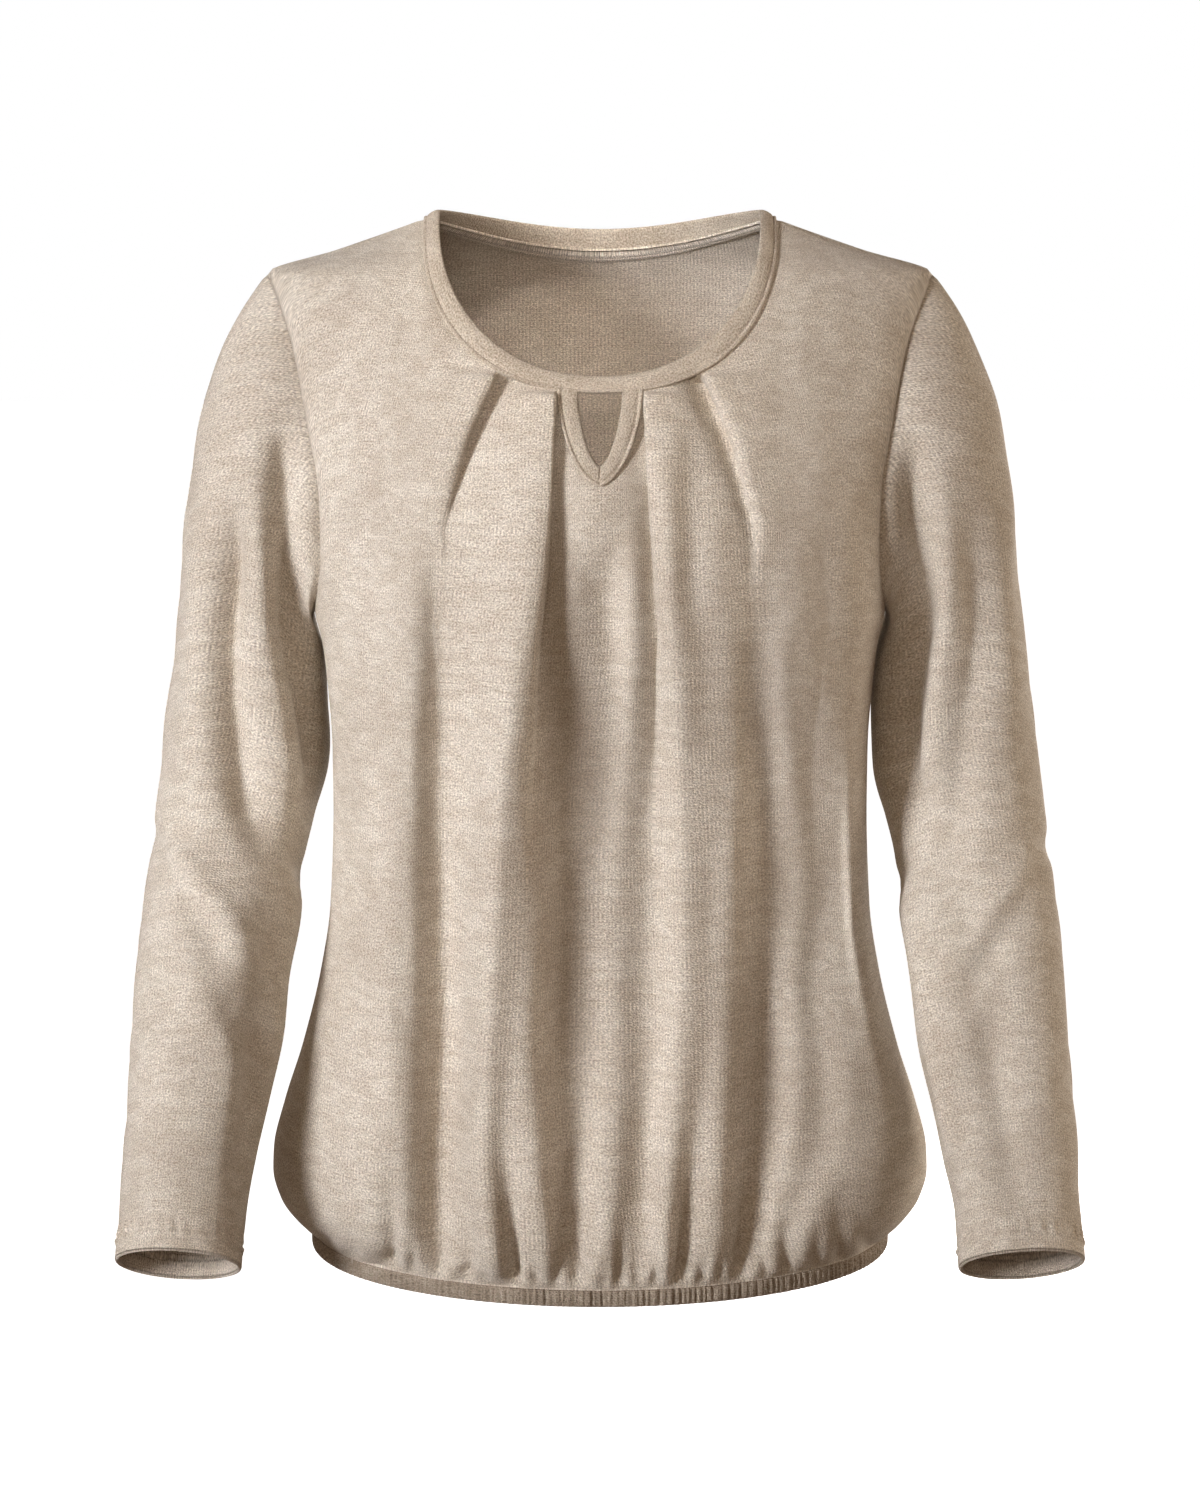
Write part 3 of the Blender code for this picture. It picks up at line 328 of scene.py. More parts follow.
# Crest and valley lines of the long folds, from the wearer's right to the left: where each lies
# across the front at ten levels, then its height there, all in millimetres.
FOLD_LEVELS = (-130, -188, -245, -303, -361, -419, -477, -534, -581, -603)
Crease = namedtuple("Crease", "name x height")
FRONT_FOLDS = (
    Crease("side hollow", (-154, -152, -151, -150, -151, -153, -163, -174, -176, -172),
           (0, 0, 0, -1, -1, -1, -1, -1, -1, 0)),
    Crease("side crest", (-112, -112, -113, -124, -127, -128, -128, -135, -136, -134),
           (0, 0.5, 5, 8, 9, 10, 11, 11, 7, 3)),
    Crease("side slope", (-104, -104, -105, -110, -111, -112, -112, -116, -116, -114),
           (0, 0.3, 3, 5, 5, 5, 6, 6, 3, 1)),
    Crease("side valley", (-92, -92, -91, -90, -90, -90, -89, -90, -94, -94),
           (0, -1, -7, -10, -12, -13, -14, -14, -10, -5)),
    Crease("pleat crest", (-38, -37, -44, -53, -59, -63, -65, -68, -62, -60),
           (0, 2, 6, 9, 10, 10, 10, 9, 8, 5)),
    Crease("pleat notch", (-36, -36, -41, -46, -49, -51, -52, -56, -50, -48),
           (0, 1.8, 5, 6, 6, 5, 5, 3, 0, -1)),
    Crease("pleat shelf", (-34, -34, -37, -38, -38, -39, -40, -42, -29, -28),
           (0, 1.5, 3, 1, 1, 1, 1, 4, 2, 1)),
    Crease("inner slope", (-26, -22, -24, -19, -18, -19, -20, -18, -24, -23),
           (-1, -3, -9, -17, -18, -18, -18, -12, -6, -4)),
    Crease("inner valley", (-2, 6, 4, 8, 4, -5, -6, -11, -12, -12),
           (-2, -7, -15, -22, -23, -22, -21, -16, -9, -5)),
    Crease("centre crest", (16, 20, 21, 16, 11, 7, 12, 5, 4, 3),
           (0, -2, -7, -21, -22, -20.5, -21, -10.5, -3, -1)),
    Crease("narrow valley", (26, 27, 32, 32, 29, 29, 31, 27, 25, 24),
           (-0.5, -6, -12, -24, -26, -25, -25, -19, -10, -5)),
    Crease("inner crest", (39, 39, 43, 47, 51, 51, 50, 41, 38, 37),
           (2, 2, -3, -13, -14, -13, -13, -7, 2, 2)),
    Crease("inner hollow", (56, 51, 56, 61, 65, 65, 63, 57, 52, 51),
           (-1.5, -2, -5, -15, -15, -15, -16, -12, -6, -3)),
    Crease("second crest", (66, 65, 70, 76, 75, 73, 71, 69, 68, 67),
           (0, 1, -4, -15, -14, -14, -14, -9, -2, 0)),
    Crease("left valley", (100, 96, 93, 96, 100, 99, 99, 98, 90, 88),
           (0, -0.5, -8, -20, -24, -26, -28, -25, -15, -7)),
    Crease("left swell", (125, 120, 110, 112, 120, 121, 118, 115, 101, 100),
           (0.5, 0.5, -3, -13, -17, -19, -21, -18, -9, -3)),
    Crease("left dip", (140, 138, 126, 122, 127, 129, 127, 128, 110, 108),
           (0, 0, -3, -12, -16, -18, -19, -16, -8, -3)),
    Crease("left crest", (148, 147, 143, 140, 143, 145, 149, 154, 122, 119),
           (0, 0, 0, -4, -7, -8, -8, -6, -4, -1)),
    Crease("left hollow", (155, 152, 150, 148, 148, 150, 162, 174, 176, 172),
           (0, 0, 0, -0.5, -0.5, -1, -1, -1, -1, 0)),
)
FOLD_DEPTH = 1.4            # folds hang this much deeper than their heights once worn in
FOLD_FROM_SIDE = 0.10       # folds fade over this share of the width at a panel's sides,
FOLD_FROM_NECK = 0.060      # and over these lengths at its top and its hem
FOLD_FROM_HEM = 0.022
GATHER_FROM_SIDE = 0.020
GATHER_FROM_HEM = 0.006
RIPPLE_HEIGHT = 0.0007

# Gathers that the elastic makes over the casing: x at the casing, how far their head leans
# sideways, their height up the panel, depth and half width, in millimetres.
Gather = namedtuple("Gather", "x lean length depth half_width")
FRONT_GATHERS = (
    Gather(-165, 8, 40, 2.2, 4.0), Gather(-147, 5, 50, 3.0, 4.5), Gather(-124, 3, 80, 6.0, 5.2),
    Gather(-110, -2, 44, 3.0, 3.4), Gather(-95, 1, 90, 7.0, 5.0), Gather(-78, 4, 70, 6.0, 4.2),
    Gather(-68, -1, 34, 2.6, 2.6), Gather(-49, -9, 110, 7.5, 5.0),
    Gather(-37, -3, 42, 3.0, 3.0), Gather(-26, 4, 50, 3.0, 3.4), Gather(-13, -5, 100, 6.5, 4.8),
    Gather(2, 3, 44, 2.6, 2.8), Gather(11, 3, 64, 5.5, 3.6), Gather(22, -2, 36, 2.8, 2.8),
    Gather(32, 3, 46, 4.0, 3.2), Gather(46, 10, 105, 7.5, 5.0), Gather(59, 4, 44, 3.2, 3.2),
    Gather(70, 3, 40, 3.0, 2.8), Gather(82, 8, 105, 8.0, 5.2), Gather(97, 2, 40, 2.4, 3.4),
    Gather(111, -2, 60, 3.6, 4.4), Gather(127, 3, 44, 2.6, 3.6), Gather(143, -4, 56, 3.2, 4.4),
    Gather(161, -8, 40, 2.4, 4.0),
)


def along(rows, column, at):
    """One column of a table, read between its rows on a smooth curve that never overshoots."""
    ordered = sorted(rows)
    x = np.array([row[0] for row in ordered])
    y = np.array([getattr(row, column) for row in ordered])
    step = np.diff(x)
    slope = np.diff(y) / step
    tangent = np.concatenate(([slope[0]], np.zeros(len(slope) - 1), [slope[-1]]))
    same_sign = slope[:-1] * slope[1:] > 0
    low, high = slope[:-1][same_sign], slope[1:][same_sign]
    tangent[1:-1][same_sign] = 2 * low * high / (low + high)
    at = np.clip(at, x[0], x[-1])
    i = np.clip(np.searchsorted(x, at, side="right") - 1, 0, len(step) - 1)
    t = (at - x[i]) / step[i]
    return ((1 + 2 * t) * (1 - t) ** 2 * y[i] + t * (1 - t) ** 2 * step[i] * tangent[i]
            + t * t * (3 - 2 * t) * y[i + 1] + t * t * (t - 1) * step[i] * tangent[i + 1])


def smooth(t):
    t = np.clip(t, 0.0, 1.0)
    return t * t * (3 - 2 * t)


def unit(vector):
    return vector / np.maximum(np.linalg.norm(vector, axis=-1, keepdims=True), 1e-12)


def quarter(x, half_width, power):
    """Height of a rounded quarter curve over x: 1 at the middle, 0 at its half width."""
    share = np.minimum(np.abs(x) / half_width, 1.0)
    return (1 - share ** power) ** (1 / power)


def depth_share(x, level):
    return quarter(x, along(TORSO, "half_width", level), along(TORSO, "power", level))


def bisect(low, high, too_far):
    """Where too_far changes from false to true, for each of several ranges at once."""
    for _ in range(40):
        middle = (low + high) / 2
        beyond = too_far(middle)
        low, high = np.where(beyond, low, middle), np.where(beyond, middle, high)
    return (low + high) / 2


def crest_level(x):
    """Level of the crest of the shoulder, where front and back meet, over x."""
    x = np.abs(x)
    return bisect(np.full_like(x, SHOULDER_LEVEL), np.full_like(x, TORSO[0].level),
                  lambda level: along(TORSO, "half_width", level) < x)


def side_x(level, face):
    """Half width of a panel: the side seam, and the armhole above the armpit."""
    column = "front_x" if face < 0 else "back_x"
    return np.where(level < ARMPIT_LEVEL, along(TORSO, "half_width", level),
                    along(ARMHOLE, column, level))


def seam_level(x):
    """Level of the shoulder seam, a little before the crest."""
    x = np.abs(np.asarray(x, float))
    blend = smooth((x - NECK_HALF_WIDTH) / SEAM_FORWARD_REACH)
    forward = SEAM_FORWARD_NECK + (SEAM_FORWARD_ARM - SEAM_FORWARD_NECK) * blend
    crest = crest_level(x)

    def reached(drop):
        level = crest - drop
        across = np.where(x >= SHOULDER_HALF_WIDTH - 1e-6, side_x(level, -1), x)
        return along(TORSO, "front_depth", level) * depth_share(across, level) > forward

    return crest - bisect(np.zeros_like(x), np.full_like(x, SEAM_FORWARD_REACH), reached)


NECK_SIDE_LEVEL = float(seam_level(NECK_HALF_WIDTH))


def neck_level(x, face):
    if face < 0:
        return NECK_SIDE_LEVEL - NECK_FRONT_DROP * quarter(x, NECK_HALF_WIDTH, NECK_FRONT_POWER)
    dip = quarter(x, NECK_HALF_WIDTH, NECK_BACK_POWER) ** NECK_BACK_FLATNESS
    return NECK_SIDE_LEVEL - NECK_BACK_DROP * dip


def neck_angle(x, power):
    """Angle round the neck seam of the point over x: 0 at the centre, a right angle aside."""
    return np.arcsin(np.minimum(np.abs(x) / NECK_HALF_WIDTH, 1.0) ** (power / 2))


Columns = namedtuple("Columns", "top_x top_level share reach")


def columns_of(guides, face):
    """Columns of a panel from one side to the other, from its guide table."""
    found = [(0.0, 0.0, guides[0].reach)]
    for before, after in zip(guides, guides[1:]):
        for i in range(1, after.count + 1):
            t = i / after.count
            top_x = before.top_x + (after.top_x - before.top_x) * t
            share = before.share + (after.share - before.share) * t
            if after.name == "shoulder point":
                share = after.share - (after.share - before.share) * (1 - t) ** SHOULDER_SPREAD
            if before.name == "centre" and face < 0:
                top_x = after.top_x * math.sin(t * math.pi / 2)
            elif after.name == "neck point":
                power = NECK_FRONT_POWER if face < 0 else NECK_BACK_POWER
                first = neck_angle(before.top_x, power)
                angle = first + (math.pi / 2 - first) * t
                top_x = NECK_HALF_WIDTH * math.sin(angle) ** (2 / power)
            found.append((top_x, share, before.reach + (after.reach - before.reach) * t))
    top_x, share, reach = np.array(found).T
    on_neck = top_x <= NECK_HALF_WIDTH + 1e-9
    level = np.where(on_neck, neck_level(top_x, face), seam_level(top_x))
    if face < 0:
        in_notch = top_x < NOTCH_HALF_WIDTH - 1e-9
        foot = neck_level(NOTCH_HALF_WIDTH, -1) - NOTCH_DEPTH * quarter(
            top_x, NOTCH_HALF_WIDTH, NOTCH_POWER)
        level = np.where(in_notch, foot, level)
    return Columns(np.concatenate((-top_x[:0:-1], top_x)), np.concatenate((level[:0:-1], level)),
                   np.concatenate((-share[:0:-1], share)), np.concatenate((reach[:0:-1], reach)))


def column_x(columns, level, face):
    at_top = columns.share * side_x(columns.top_level, face)
    fade = np.clip(1 - (columns.top_level - level) / columns.reach, 0.0, 1.0) ** COLUMN_FADE
    turned = columns.share * side_x(level, face) + (columns.top_x - at_top) * fade
    return np.where(np.abs(columns.share) >= 1, columns.share * side_x(level, face), turned)


def droop(x, level, face):
    """How much lower the cloth hangs near the hem, towards the middle of a panel."""
    amount = HEM_FRONT_DROOP if face < 0 else HEM_BACK_DROOP
    ramp_down = smooth((DROOP_START - level) / (DROOP_START - HEM_LEVEL))
    return amount * ramp_down * quarter(x, along(TORSO, "half_width", level), 2.0)


def torso_point(x, level, face):
    x, level = np.broadcast_arrays(np.asarray(x, float), np.asarray(level, float))
    depth = along(TORSO, "front_depth" if face < 0 else "back_depth", level)
    return np.stack((x, face * depth * depth_share(x, level), level - droop(x, level, face)), -1)


def finer(shares, times, power=1.0):
    """The same rows with more between each two, spaced evenly in their power."""
    even = np.asarray(shares, float) ** (1 / power)
    places = np.linspace(0, len(even) - 1, (len(even) - 1) * times + 1)
    return np.interp(places, np.arange(len(even)), even) ** power


def normals_of(grid, closed=False):
    if closed:
        across = np.roll(grid, -1, axis=1) - np.roll(grid, 1, axis=1)
    else:
        across = np.gradient(grid, axis=1)
    return unit(np.cross(across, np.gradient(grid, axis=0)))


def fold_height(creases, x, z):
    """Height of the cloth between the crest and valley lines on either side of a point."""
    levels = np.array(FOLD_LEVELS[::-1]) / 1000
    lines = []
    for crease in creases:
        lines.append((np.interp(z, levels, np.array(crease.x[::-1]) / 1000),
                      np.interp(z, levels, np.array(crease.height[::-1]) / 1000)))
    side = along(TORSO, "half_width", z)
    lines = [(-side, np.zeros_like(z))] + lines + [(side, np.zeros_like(z))]
    pairs = list(zip(lines, lines[1:]))
    slopes = [(h1 - h0) / np.maximum(x1 - x0, 1e-6) for (x0, h0), (x1, h1) in pairs]
    turns = [np.where(a * b > 0, 2 * a * b / np.where(a * b > 0, a + b, 1.0), 0.0)
             for a, b in zip(slopes, slopes[1:])]
    turns = [np.zeros_like(z)] + turns + [np.zeros_like(z)]
    total = np.zeros_like(x)
    for k, ((x0, h0), (x1, h1)) in enumerate(pairs):
        width = np.maximum(x1 - x0, 1e-6)
        t = (x - x0) / width
        height = (h0 + (h1 - h0) * t * t * (3 - 2 * t) + width * t * (1 - t)
                  * (turns[k] * (1 - t) - turns[k + 1] * t))
        total = np.where((x >= x0) & (x < x1), height, total)
    return total


def soften(height, rounds, axis=0):
    """Height with its kinks rounded off along the rows or across them."""
    for _ in range(rounds):
        edge = np.take(height, [0], axis), np.take(height, [-1], axis)
        wide = np.concatenate((edge[0], height, edge[1]), axis)
        count = height.shape[axis]
        height = (np.take(wide, range(count), axis) + 2 * height
                  + np.take(wide, range(2, count + 2), axis)) / 4
    return height


def soft_folds(creases, x, z):
    return soften(soften(fold_height(creases, x, z), 16), 3, 1)


def drawn_in(grid, relief):
    """x of each point once the folds have drawn cloth in evenly from all along its row."""
    run = edge_distance(grid)[0]
    x = grid[..., 0].copy()
    for row, path in enumerate(run):
        folded = np.concatenate(([0.0], np.cumsum(np.hypot(np.diff(path), np.diff(relief[row])))))
        at = np.interp(path / path[-1] * folded[-1], folded, path)
        x[row] = np.interp(at, path, grid[row, :, 0])
    return x


def gather_height(gathers, x, level):
    """Depth of the gathers: narrow at the casing, wider and shallower further up."""
    total = np.zeros_like(x)
    up = (level - HEM_LEVEL) * 1000
    for gather in gathers:
        t = np.clip(up / gather.length, 0.0, 1.0)
        middle = gather.x + gather.lean * t
        width = gather.half_width * (0.70 + 1.3 * t)
        wall = np.exp(-np.abs((x * 1000 - middle) / width) ** 1.7)
        total -= gather.depth / 800 * wall * (1 - smooth(t)) * (0.60 + 0.40 * smooth(up / 7))
    return total


def ripple(u, v, seed, sizes, height):
    """Low uneven waves of the given lengths in metres, the same on each run."""
    chance = np.random.default_rng(seed)
    total = np.zeros_like(u)
    for _ in range(14):
        across, up = sizes[0] * chance.uniform(0.6, 1.6), sizes[1] * chance.uniform(0.6, 1.6)
        turn = chance.uniform(-0.35, 0.35)
        phase = chance.uniform(0, 2 * math.pi)
        total += np.sin(2 * math.pi * ((u + turn * v) / across + v / up) + phase)
    return total * height / 3.7


def panel_relief(gathers, x, z, edges, fade, seed, waves):
    """Gathers, low waves and the roll of the cloth at its side, top and hem edges."""
    side_edge, top_edge, hem_edge = edges
    relief = gather_height(gathers, x, z) * smooth(side_edge / GATHER_FROM_SIDE)
    relief = relief * smooth(hem_edge / GATHER_FROM_HEM)
    relief += ripple(x, z, seed, waves, RIPPLE_HEIGHT) * fade
    for edge in edges:
        relief -= SEAM_ROLL * np.exp(-(edge / SEAM_ROLL_WIDTH) ** 2)
    return relief


def edge_distance(grid):
    """Distance over the cloth from a panel's two sides and from its lower edge."""
    run = np.cumsum(np.linalg.norm(np.diff(grid, axis=1, prepend=grid[:, :1]), axis=2), axis=1)
    fall = np.cumsum(np.linalg.norm(np.diff(grid, axis=0, prepend=grid[:1]), axis=2), axis=0)
    return run, run[:, -1:] - run, fall[-1:] - fall


def line_distance(grid, line):
    """How far each point of a grid is from a line, and how far along the line that is."""
    places = np.linspace(0, len(line) - 1, 6 * len(line))
    fine = np.stack([np.interp(places, np.arange(len(line)), line[:, k]) for k in range(3)], -1)
    run = np.cumsum(np.linalg.norm(np.diff(fine, axis=0, prepend=fine[:1]), axis=1))
    apart = np.array([np.linalg.norm(row[:, None] - fine[None], axis=2) for row in grid])
    return apart.min(axis=2), run[apart.argmin(axis=2)]


def towards_seams(out, left_edge, right_edge):
    """Outward directions, turned near the sides to those that both pieces of a seam share."""
    for edge, sign in ((left_edge, -1.0), (right_edge, 1.0)):
        shared = unit(out + np.array((sign, 0.0, 0.0)))
        near = np.exp(-(edge / SEAM_ROLL_WIDTH / 1.6) ** 2)[..., None]
        out = unit(out * (1 - near) + shared * near)
    return out


def past_edge(grid, side, ways):
    """The grid with three more rows or columns past an edge: the seam allowance."""
    at_end = side in ("bottom", "right")
    turned = grid if side in ("top", "bottom") else grid.transpose(1, 0, 2)
    edge = turned[-1] if at_end else turned[0]
    extra = np.array([edge + ways * step for step in ALLOWANCE_STEPS])
    turned = np.concatenate((turned, extra) if at_end else (extra[::-1], turned))
    return turned if side in ("top", "bottom") else turned.transpose(1, 0, 2)


def across_edge(edge, within, out):
    """Directions that leave a piece squarely over its edge, along its own surface."""
    ways = unit(np.cross(out, np.gradient(edge, axis=0)))
    return ways * np.sign(np.sum(ways * (edge - within), axis=1, keepdims=True))


RIM_TURNS = (0.25 * math.pi, 0.5 * math.pi, 0.75 * math.pi)


def as_piece(name, points, faces, tones, finishes, finish=None):
    """A smooth mesh with the cloth's own map, its finishes, and which of them each face has."""
    mesh = bpy.data.meshes.new(name)
    mesh.from_pydata(points.tolist(), [], faces)
    mesh.uv_layers.new(name=KNIT_UV)
    mesh.uv_layers[KNIT_UV].data.foreach_set("uv", np.asarray(tones, "float32").ravel())
    if finish is not None:
        mesh.polygons.foreach_set("material_index", finish.astype("int32"))
    for material in finishes:
        mesh.materials.append(material)
    mesh.shade_smooth()
    piece = bpy.data.objects.new(name, mesh)
    bpy.context.scene.collection.objects.link(piece)
    return piece


def cloth_piece(name, outer, inner, closed, uv, finishes, flip, seam_uv=None):
    """A thin shell between two grids of points, with rounded edges and the cloth's own UV.

    Where seam_uv is within a seam's width, the inner side has the third finish instead.
    """
    rows, cols = outer.shape[:2]
    points = [outer.reshape(-1, 3), inner.reshape(-1, 3)]
    faces, corners, finish = [], [], []
    last = cols if closed else cols - 1
    r, c = np.meshgrid(np.arange(rows - 1), np.arange(last), indexing="ij")
    r, c = r.ravel(), c.ravel()
    ring = np.stack((np.stack((r, c), -1), np.stack((r, c + 1), -1),
                     np.stack((r + 1, c + 1), -1), np.stack((r + 1, c), -1)), 1)
    for side, base in ((0, 0), (1, rows * cols)):
        quad = ring if (side == 1) == flip else ring[:, ::-1]
        quad = quad[:, ::-1]
        faces.append(base + quad[..., 0] * cols + quad[..., 1] % cols)
        tones, kind = uv[quad[..., 0], quad[..., 1]], np.full(len(quad), side)
        if side and seam_uv is not None:
            seam_tones = seam_uv[quad[..., 0], quad[..., 1]]
            kind[(seam_tones[..., 0] < STITCH_WIDTH).all(axis=1)] = 2
            tones = np.where((kind == 2)[:, None, None], seam_tones, tones)
        corners.append(tones)
        finish.append(kind)
    if closed:
        loops = [[(row, c) for c in range(cols)] for row in (0, rows - 1)]
    else:
        loops = [[(0, c) for c in range(cols)] + [(r, cols - 1) for r in range(1, rows)]
                 + [(rows - 1, c) for c in range(cols - 2, -1, -1)]
                 + [(r, 0) for r in range(rows - 2, 0, -1)]]
    count = 2 * rows * cols
    for number, loop in enumerate(loops):
        loop = np.array(loop)
        lr, lc = loop.T
        near_r = np.clip(lr, 1, rows - 2)
        near_c = lc if closed else np.clip(lc, 1, cols - 2)
        o, i = outer[lr, lc], inner[lr, lc]
        away = unit(o - outer[near_r, near_c])
        middle, half = (o + i) / 2, (o - i) / 2
        reach = away * np.linalg.norm(half, axis=1, keepdims=True)
        lines = [lr * cols + lc]
        for turn in RIM_TURNS:
            points.append(middle + half * math.cos(turn) + reach * math.sin(turn))
            lines.append(count + np.arange(len(loop)))
            count += len(loop)
        lines.append(rows * cols + lr * cols + lc)
        tone = uv[lr, lc]
        for upper, lower in zip(lines, lines[1:]):
            quad = np.stack((upper, lower, np.roll(lower, -1), np.roll(upper, -1)), 1)
            tones = np.stack((tone, tone, np.roll(tone, -1, 0), np.roll(tone, -1, 0)), 1)
            if flip != (closed and number == 1):
                quad, tones = quad[:, ::-1], tones[:, ::-1]
            faces.append(quad)
            corners.append(tones)
            finish.append(np.zeros(len(quad), int))
    return as_piece(name, np.concatenate(points), np.concatenate(faces).tolist(),
                    np.concatenate(corners), finishes, np.concatenate(finish))


def knit_uv(grid, closed=False, edges=()):
    """Metres across the cloth from its middle, and metres down it.

    From under each of the pleats' edges the count starts again from where the cloth's would
    be with the pleat let out, so that the wales run along the pleats.
    """
    across = np.linalg.norm(np.diff(grid, axis=1), axis=2)
    if closed:
        across = np.concatenate(
            (across, np.linalg.norm(grid[:, :1] - grid[:, -1:], axis=2)), axis=1)
    run = np.concatenate((np.zeros((len(grid), 1)), np.cumsum(across, axis=1)), axis=1)
    if closed:
        run *= np.median(run[:, -1]) / run[:, -1:]
    else:
        run -= run[:, run.shape[1] // 2][:, None]
        lowest = len(run) * 5 // 8
        whole = run[lowest]
        for edge, first, last in edges:
            low, high = sorted((first, last))
            run[:lowest, low:high + 1] += whole[edge] - run[:lowest, edge:edge + 1]
    fall = np.cumsum(np.linalg.norm(np.diff(grid, axis=0, prepend=grid[:1]), axis=2), axis=0)
    fall = fall[-1:] - fall
    if closed:
        fall = np.concatenate((fall, fall[:, :1]), axis=1)
    return np.stack((run, fall), -1)


def front_grid():
    """Plain outer surface of the front, and the levels of its points."""
    columns = columns_of(FRONT_GUIDES, -1)
    side_top = float(seam_level(SHOULDER_HALF_WIDTH))
    armpit = (side_top - ARMPIT_LEVEL) / (side_top - HEM_LEVEL)
    upper = finer(UPPER_ROWS + (armpit,), ROWS_ABOVE, 2.0)
    lower = finer((armpit,) + LOWER_ROWS, ROWS_BELOW)[1:]
    shares = np.concatenate((upper, lower))[:, None]
    levels = columns.top_level - (columns.top_level - HEM_LEVEL) * shares
    return torso_point(column_x(columns, levels, -1), levels, -1), columns, levels


def pleated(grid, columns, levels):
    """Sideways shift and height of the knife pleats over the front."""
    shift, height = np.zeros(levels.shape), np.zeros(levels.shape)
    x = grid[..., 0]
    for pleat in PLEATS:
        edge = int(np.argmin(np.abs(columns.top_x - pleat.side * pleat.top_x)))
        edge_x = x[:, edge:edge + 1]
        down = columns.top_level[edge] - levels
        fade = smooth(down / PLEAT_RISE * 0.85 + 0.15) * (1 - smooth(down / pleat.length))
        outward = (x - edge_x) * pleat.side
        tall = pleat.height * np.exp(-(np.maximum(outward, 0) / pleat.width) ** 2)
        deep = pleat.hollow * np.exp(-(np.minimum(outward, 0) / PLEAT_HOLLOW_WIDTH) ** 2)
        height += np.where(outward > 1e-7, tall, -deep) * fade
        under = edge_x[:, 0] + pleat.side * pleat.lap * LIP[-1][1]
        far = x[:, edge - LIP_SPREAD * pleat.side]
        for offset in range(LIP_SPREAD):
            col = edge - offset * pleat.side
            part = fade[:, col]
            if offset:
                part = part * smooth((columns.top_level[col] - levels[:, col]) / LIP_FROM_SEAM)
            if offset < len(LIP):
                _, lap, share = LIP[offset]
                target = edge_x[:, 0] + pleat.side * pleat.lap * lap
                lip = (pleat.height + pleat.hollow) * share - pleat.hollow
            else:
                t = (offset - len(LIP) + 1) / (LIP_SPREAD - len(LIP) + 1)
                target = under + (far - under) * t
                inward = np.maximum((edge_x[:, 0] - target) * pleat.side, 0)
                lip = -pleat.hollow * np.exp(-(inward / PLEAT_HOLLOW_WIDTH) ** 2)
            shift[:, col] += (target - x[:, col]) * part
            height[:, col] = height[:, col] * (1 - part) + lip * part
    return shift, height


def finished_panel(name, plain, out, relief, shift, on_neck, face, cut=None, edges=()):
    """A panel with its relief, seam allowances and the stitched ridge inside its neck edge."""
    left_edge, right_edge, _ = edge_distance(plain)
    out = towards_seams(out, left_edge, right_edge)
    outer = plain + out * relief[..., None] + shift
    square = across_edge(plain[0], plain[4], out[0])
    top_ways = np.where(on_neck[:, None], square, -out[0])
    outer = past_edge(outer, "top", top_ways)
    outer = past_edge(outer, "bottom", np.broadcast_to(np.array((0.0, 0.0, -1.0)), out[0].shape))
    extra = len(ALLOWANCE_STEPS)
    for side, column in (("left", 0), ("right", -1)):
        ways = -out[:, column]
        ways = np.concatenate((ways[:1].repeat(extra, 0), ways, ways[-1:].repeat(extra, 0)))
        outer = past_edge(outer, side, ways)
    from_neck, run = line_distance(plain, plain[0, on_neck])
    ridge = STITCH_RIDGE * np.sqrt(np.clip(1 - (from_neck / STITCH_WIDTH * 2 - 1) ** 2, 0, 1))
    wall = CLOTH + np.pad(ridge, extra)
    normals = normals_of(outer) * face
    border = ((extra, extra), (extra, extra), (0, 0))
    uv = np.pad(knit_uv(plain if cut is None else cut, False, edges), border, mode="edge")
    seam_uv = np.pad(np.stack((from_neck, run), -1), border, mode="edge")
    return cloth_piece(name, outer, outer - normals * wall[..., None], False, uv,
                       (RIGHT_SIDE, INNER_SIDE_PAINTED_LIGHT, COVER_STITCH), face < 0, seam_uv)


front_cut, front_columns, z = front_grid()
left_edge, right_edge, hem_edge = edge_distance(front_cut)
side_edge = np.minimum(left_edge, right_edge)
within = smooth((1 - np.abs(front_columns.share)) / FOLD_FROM_SIDE)
within = within * smooth((front_columns.top_level - z) / FOLD_FROM_NECK)
fold_depth = FOLD_DEPTH * within * smooth(hem_edge / FOLD_FROM_HEM)
folds = soft_folds(FRONT_FOLDS, front_cut[..., 0], z) * fold_depth
front_plain = torso_point(drawn_in(front_cut, folds), z, -1)
front_out = -normals_of(front_plain)
x = front_plain[..., 0]
top_edge, _ = line_distance(front_plain, front_plain[0])
pleat_shift, pleat_height = pleated(front_plain, front_columns, z)
folds = soft_folds(FRONT_FOLDS, x, z) * fold_depth
shift = np.stack((pleat_shift, -folds, np.zeros_like(folds)), -1)
relief = pleat_height + panel_relief(FRONT_GATHERS, x, z, (side_edge, top_edge, hem_edge),
                                     within, 5, (0.040, 0.21))
middle = len(front_columns.top_x) // 2
inner, outer = (sum(guide.count for guide in FRONT_GUIDES[:n]) for n in (2, 4))
pleat_zones = [(middle + side * at, middle + side * (at - 2), middle + side * to)
               for side in (-1, 1) for at, to in ((inner, outer - 3), (outer, middle))]
front_cut += front_out * pleat_height[..., None]
front_cut[..., 0] += pleat_shift
front = finished_panel("front_cloth", front_plain, front_out, relief, shift,
                       np.abs(front_columns.top_x) <= NECK_HALF_WIDTH + 1e-9, -1, front_cut,
                       pleat_zones)
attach(front, "root")
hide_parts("front")

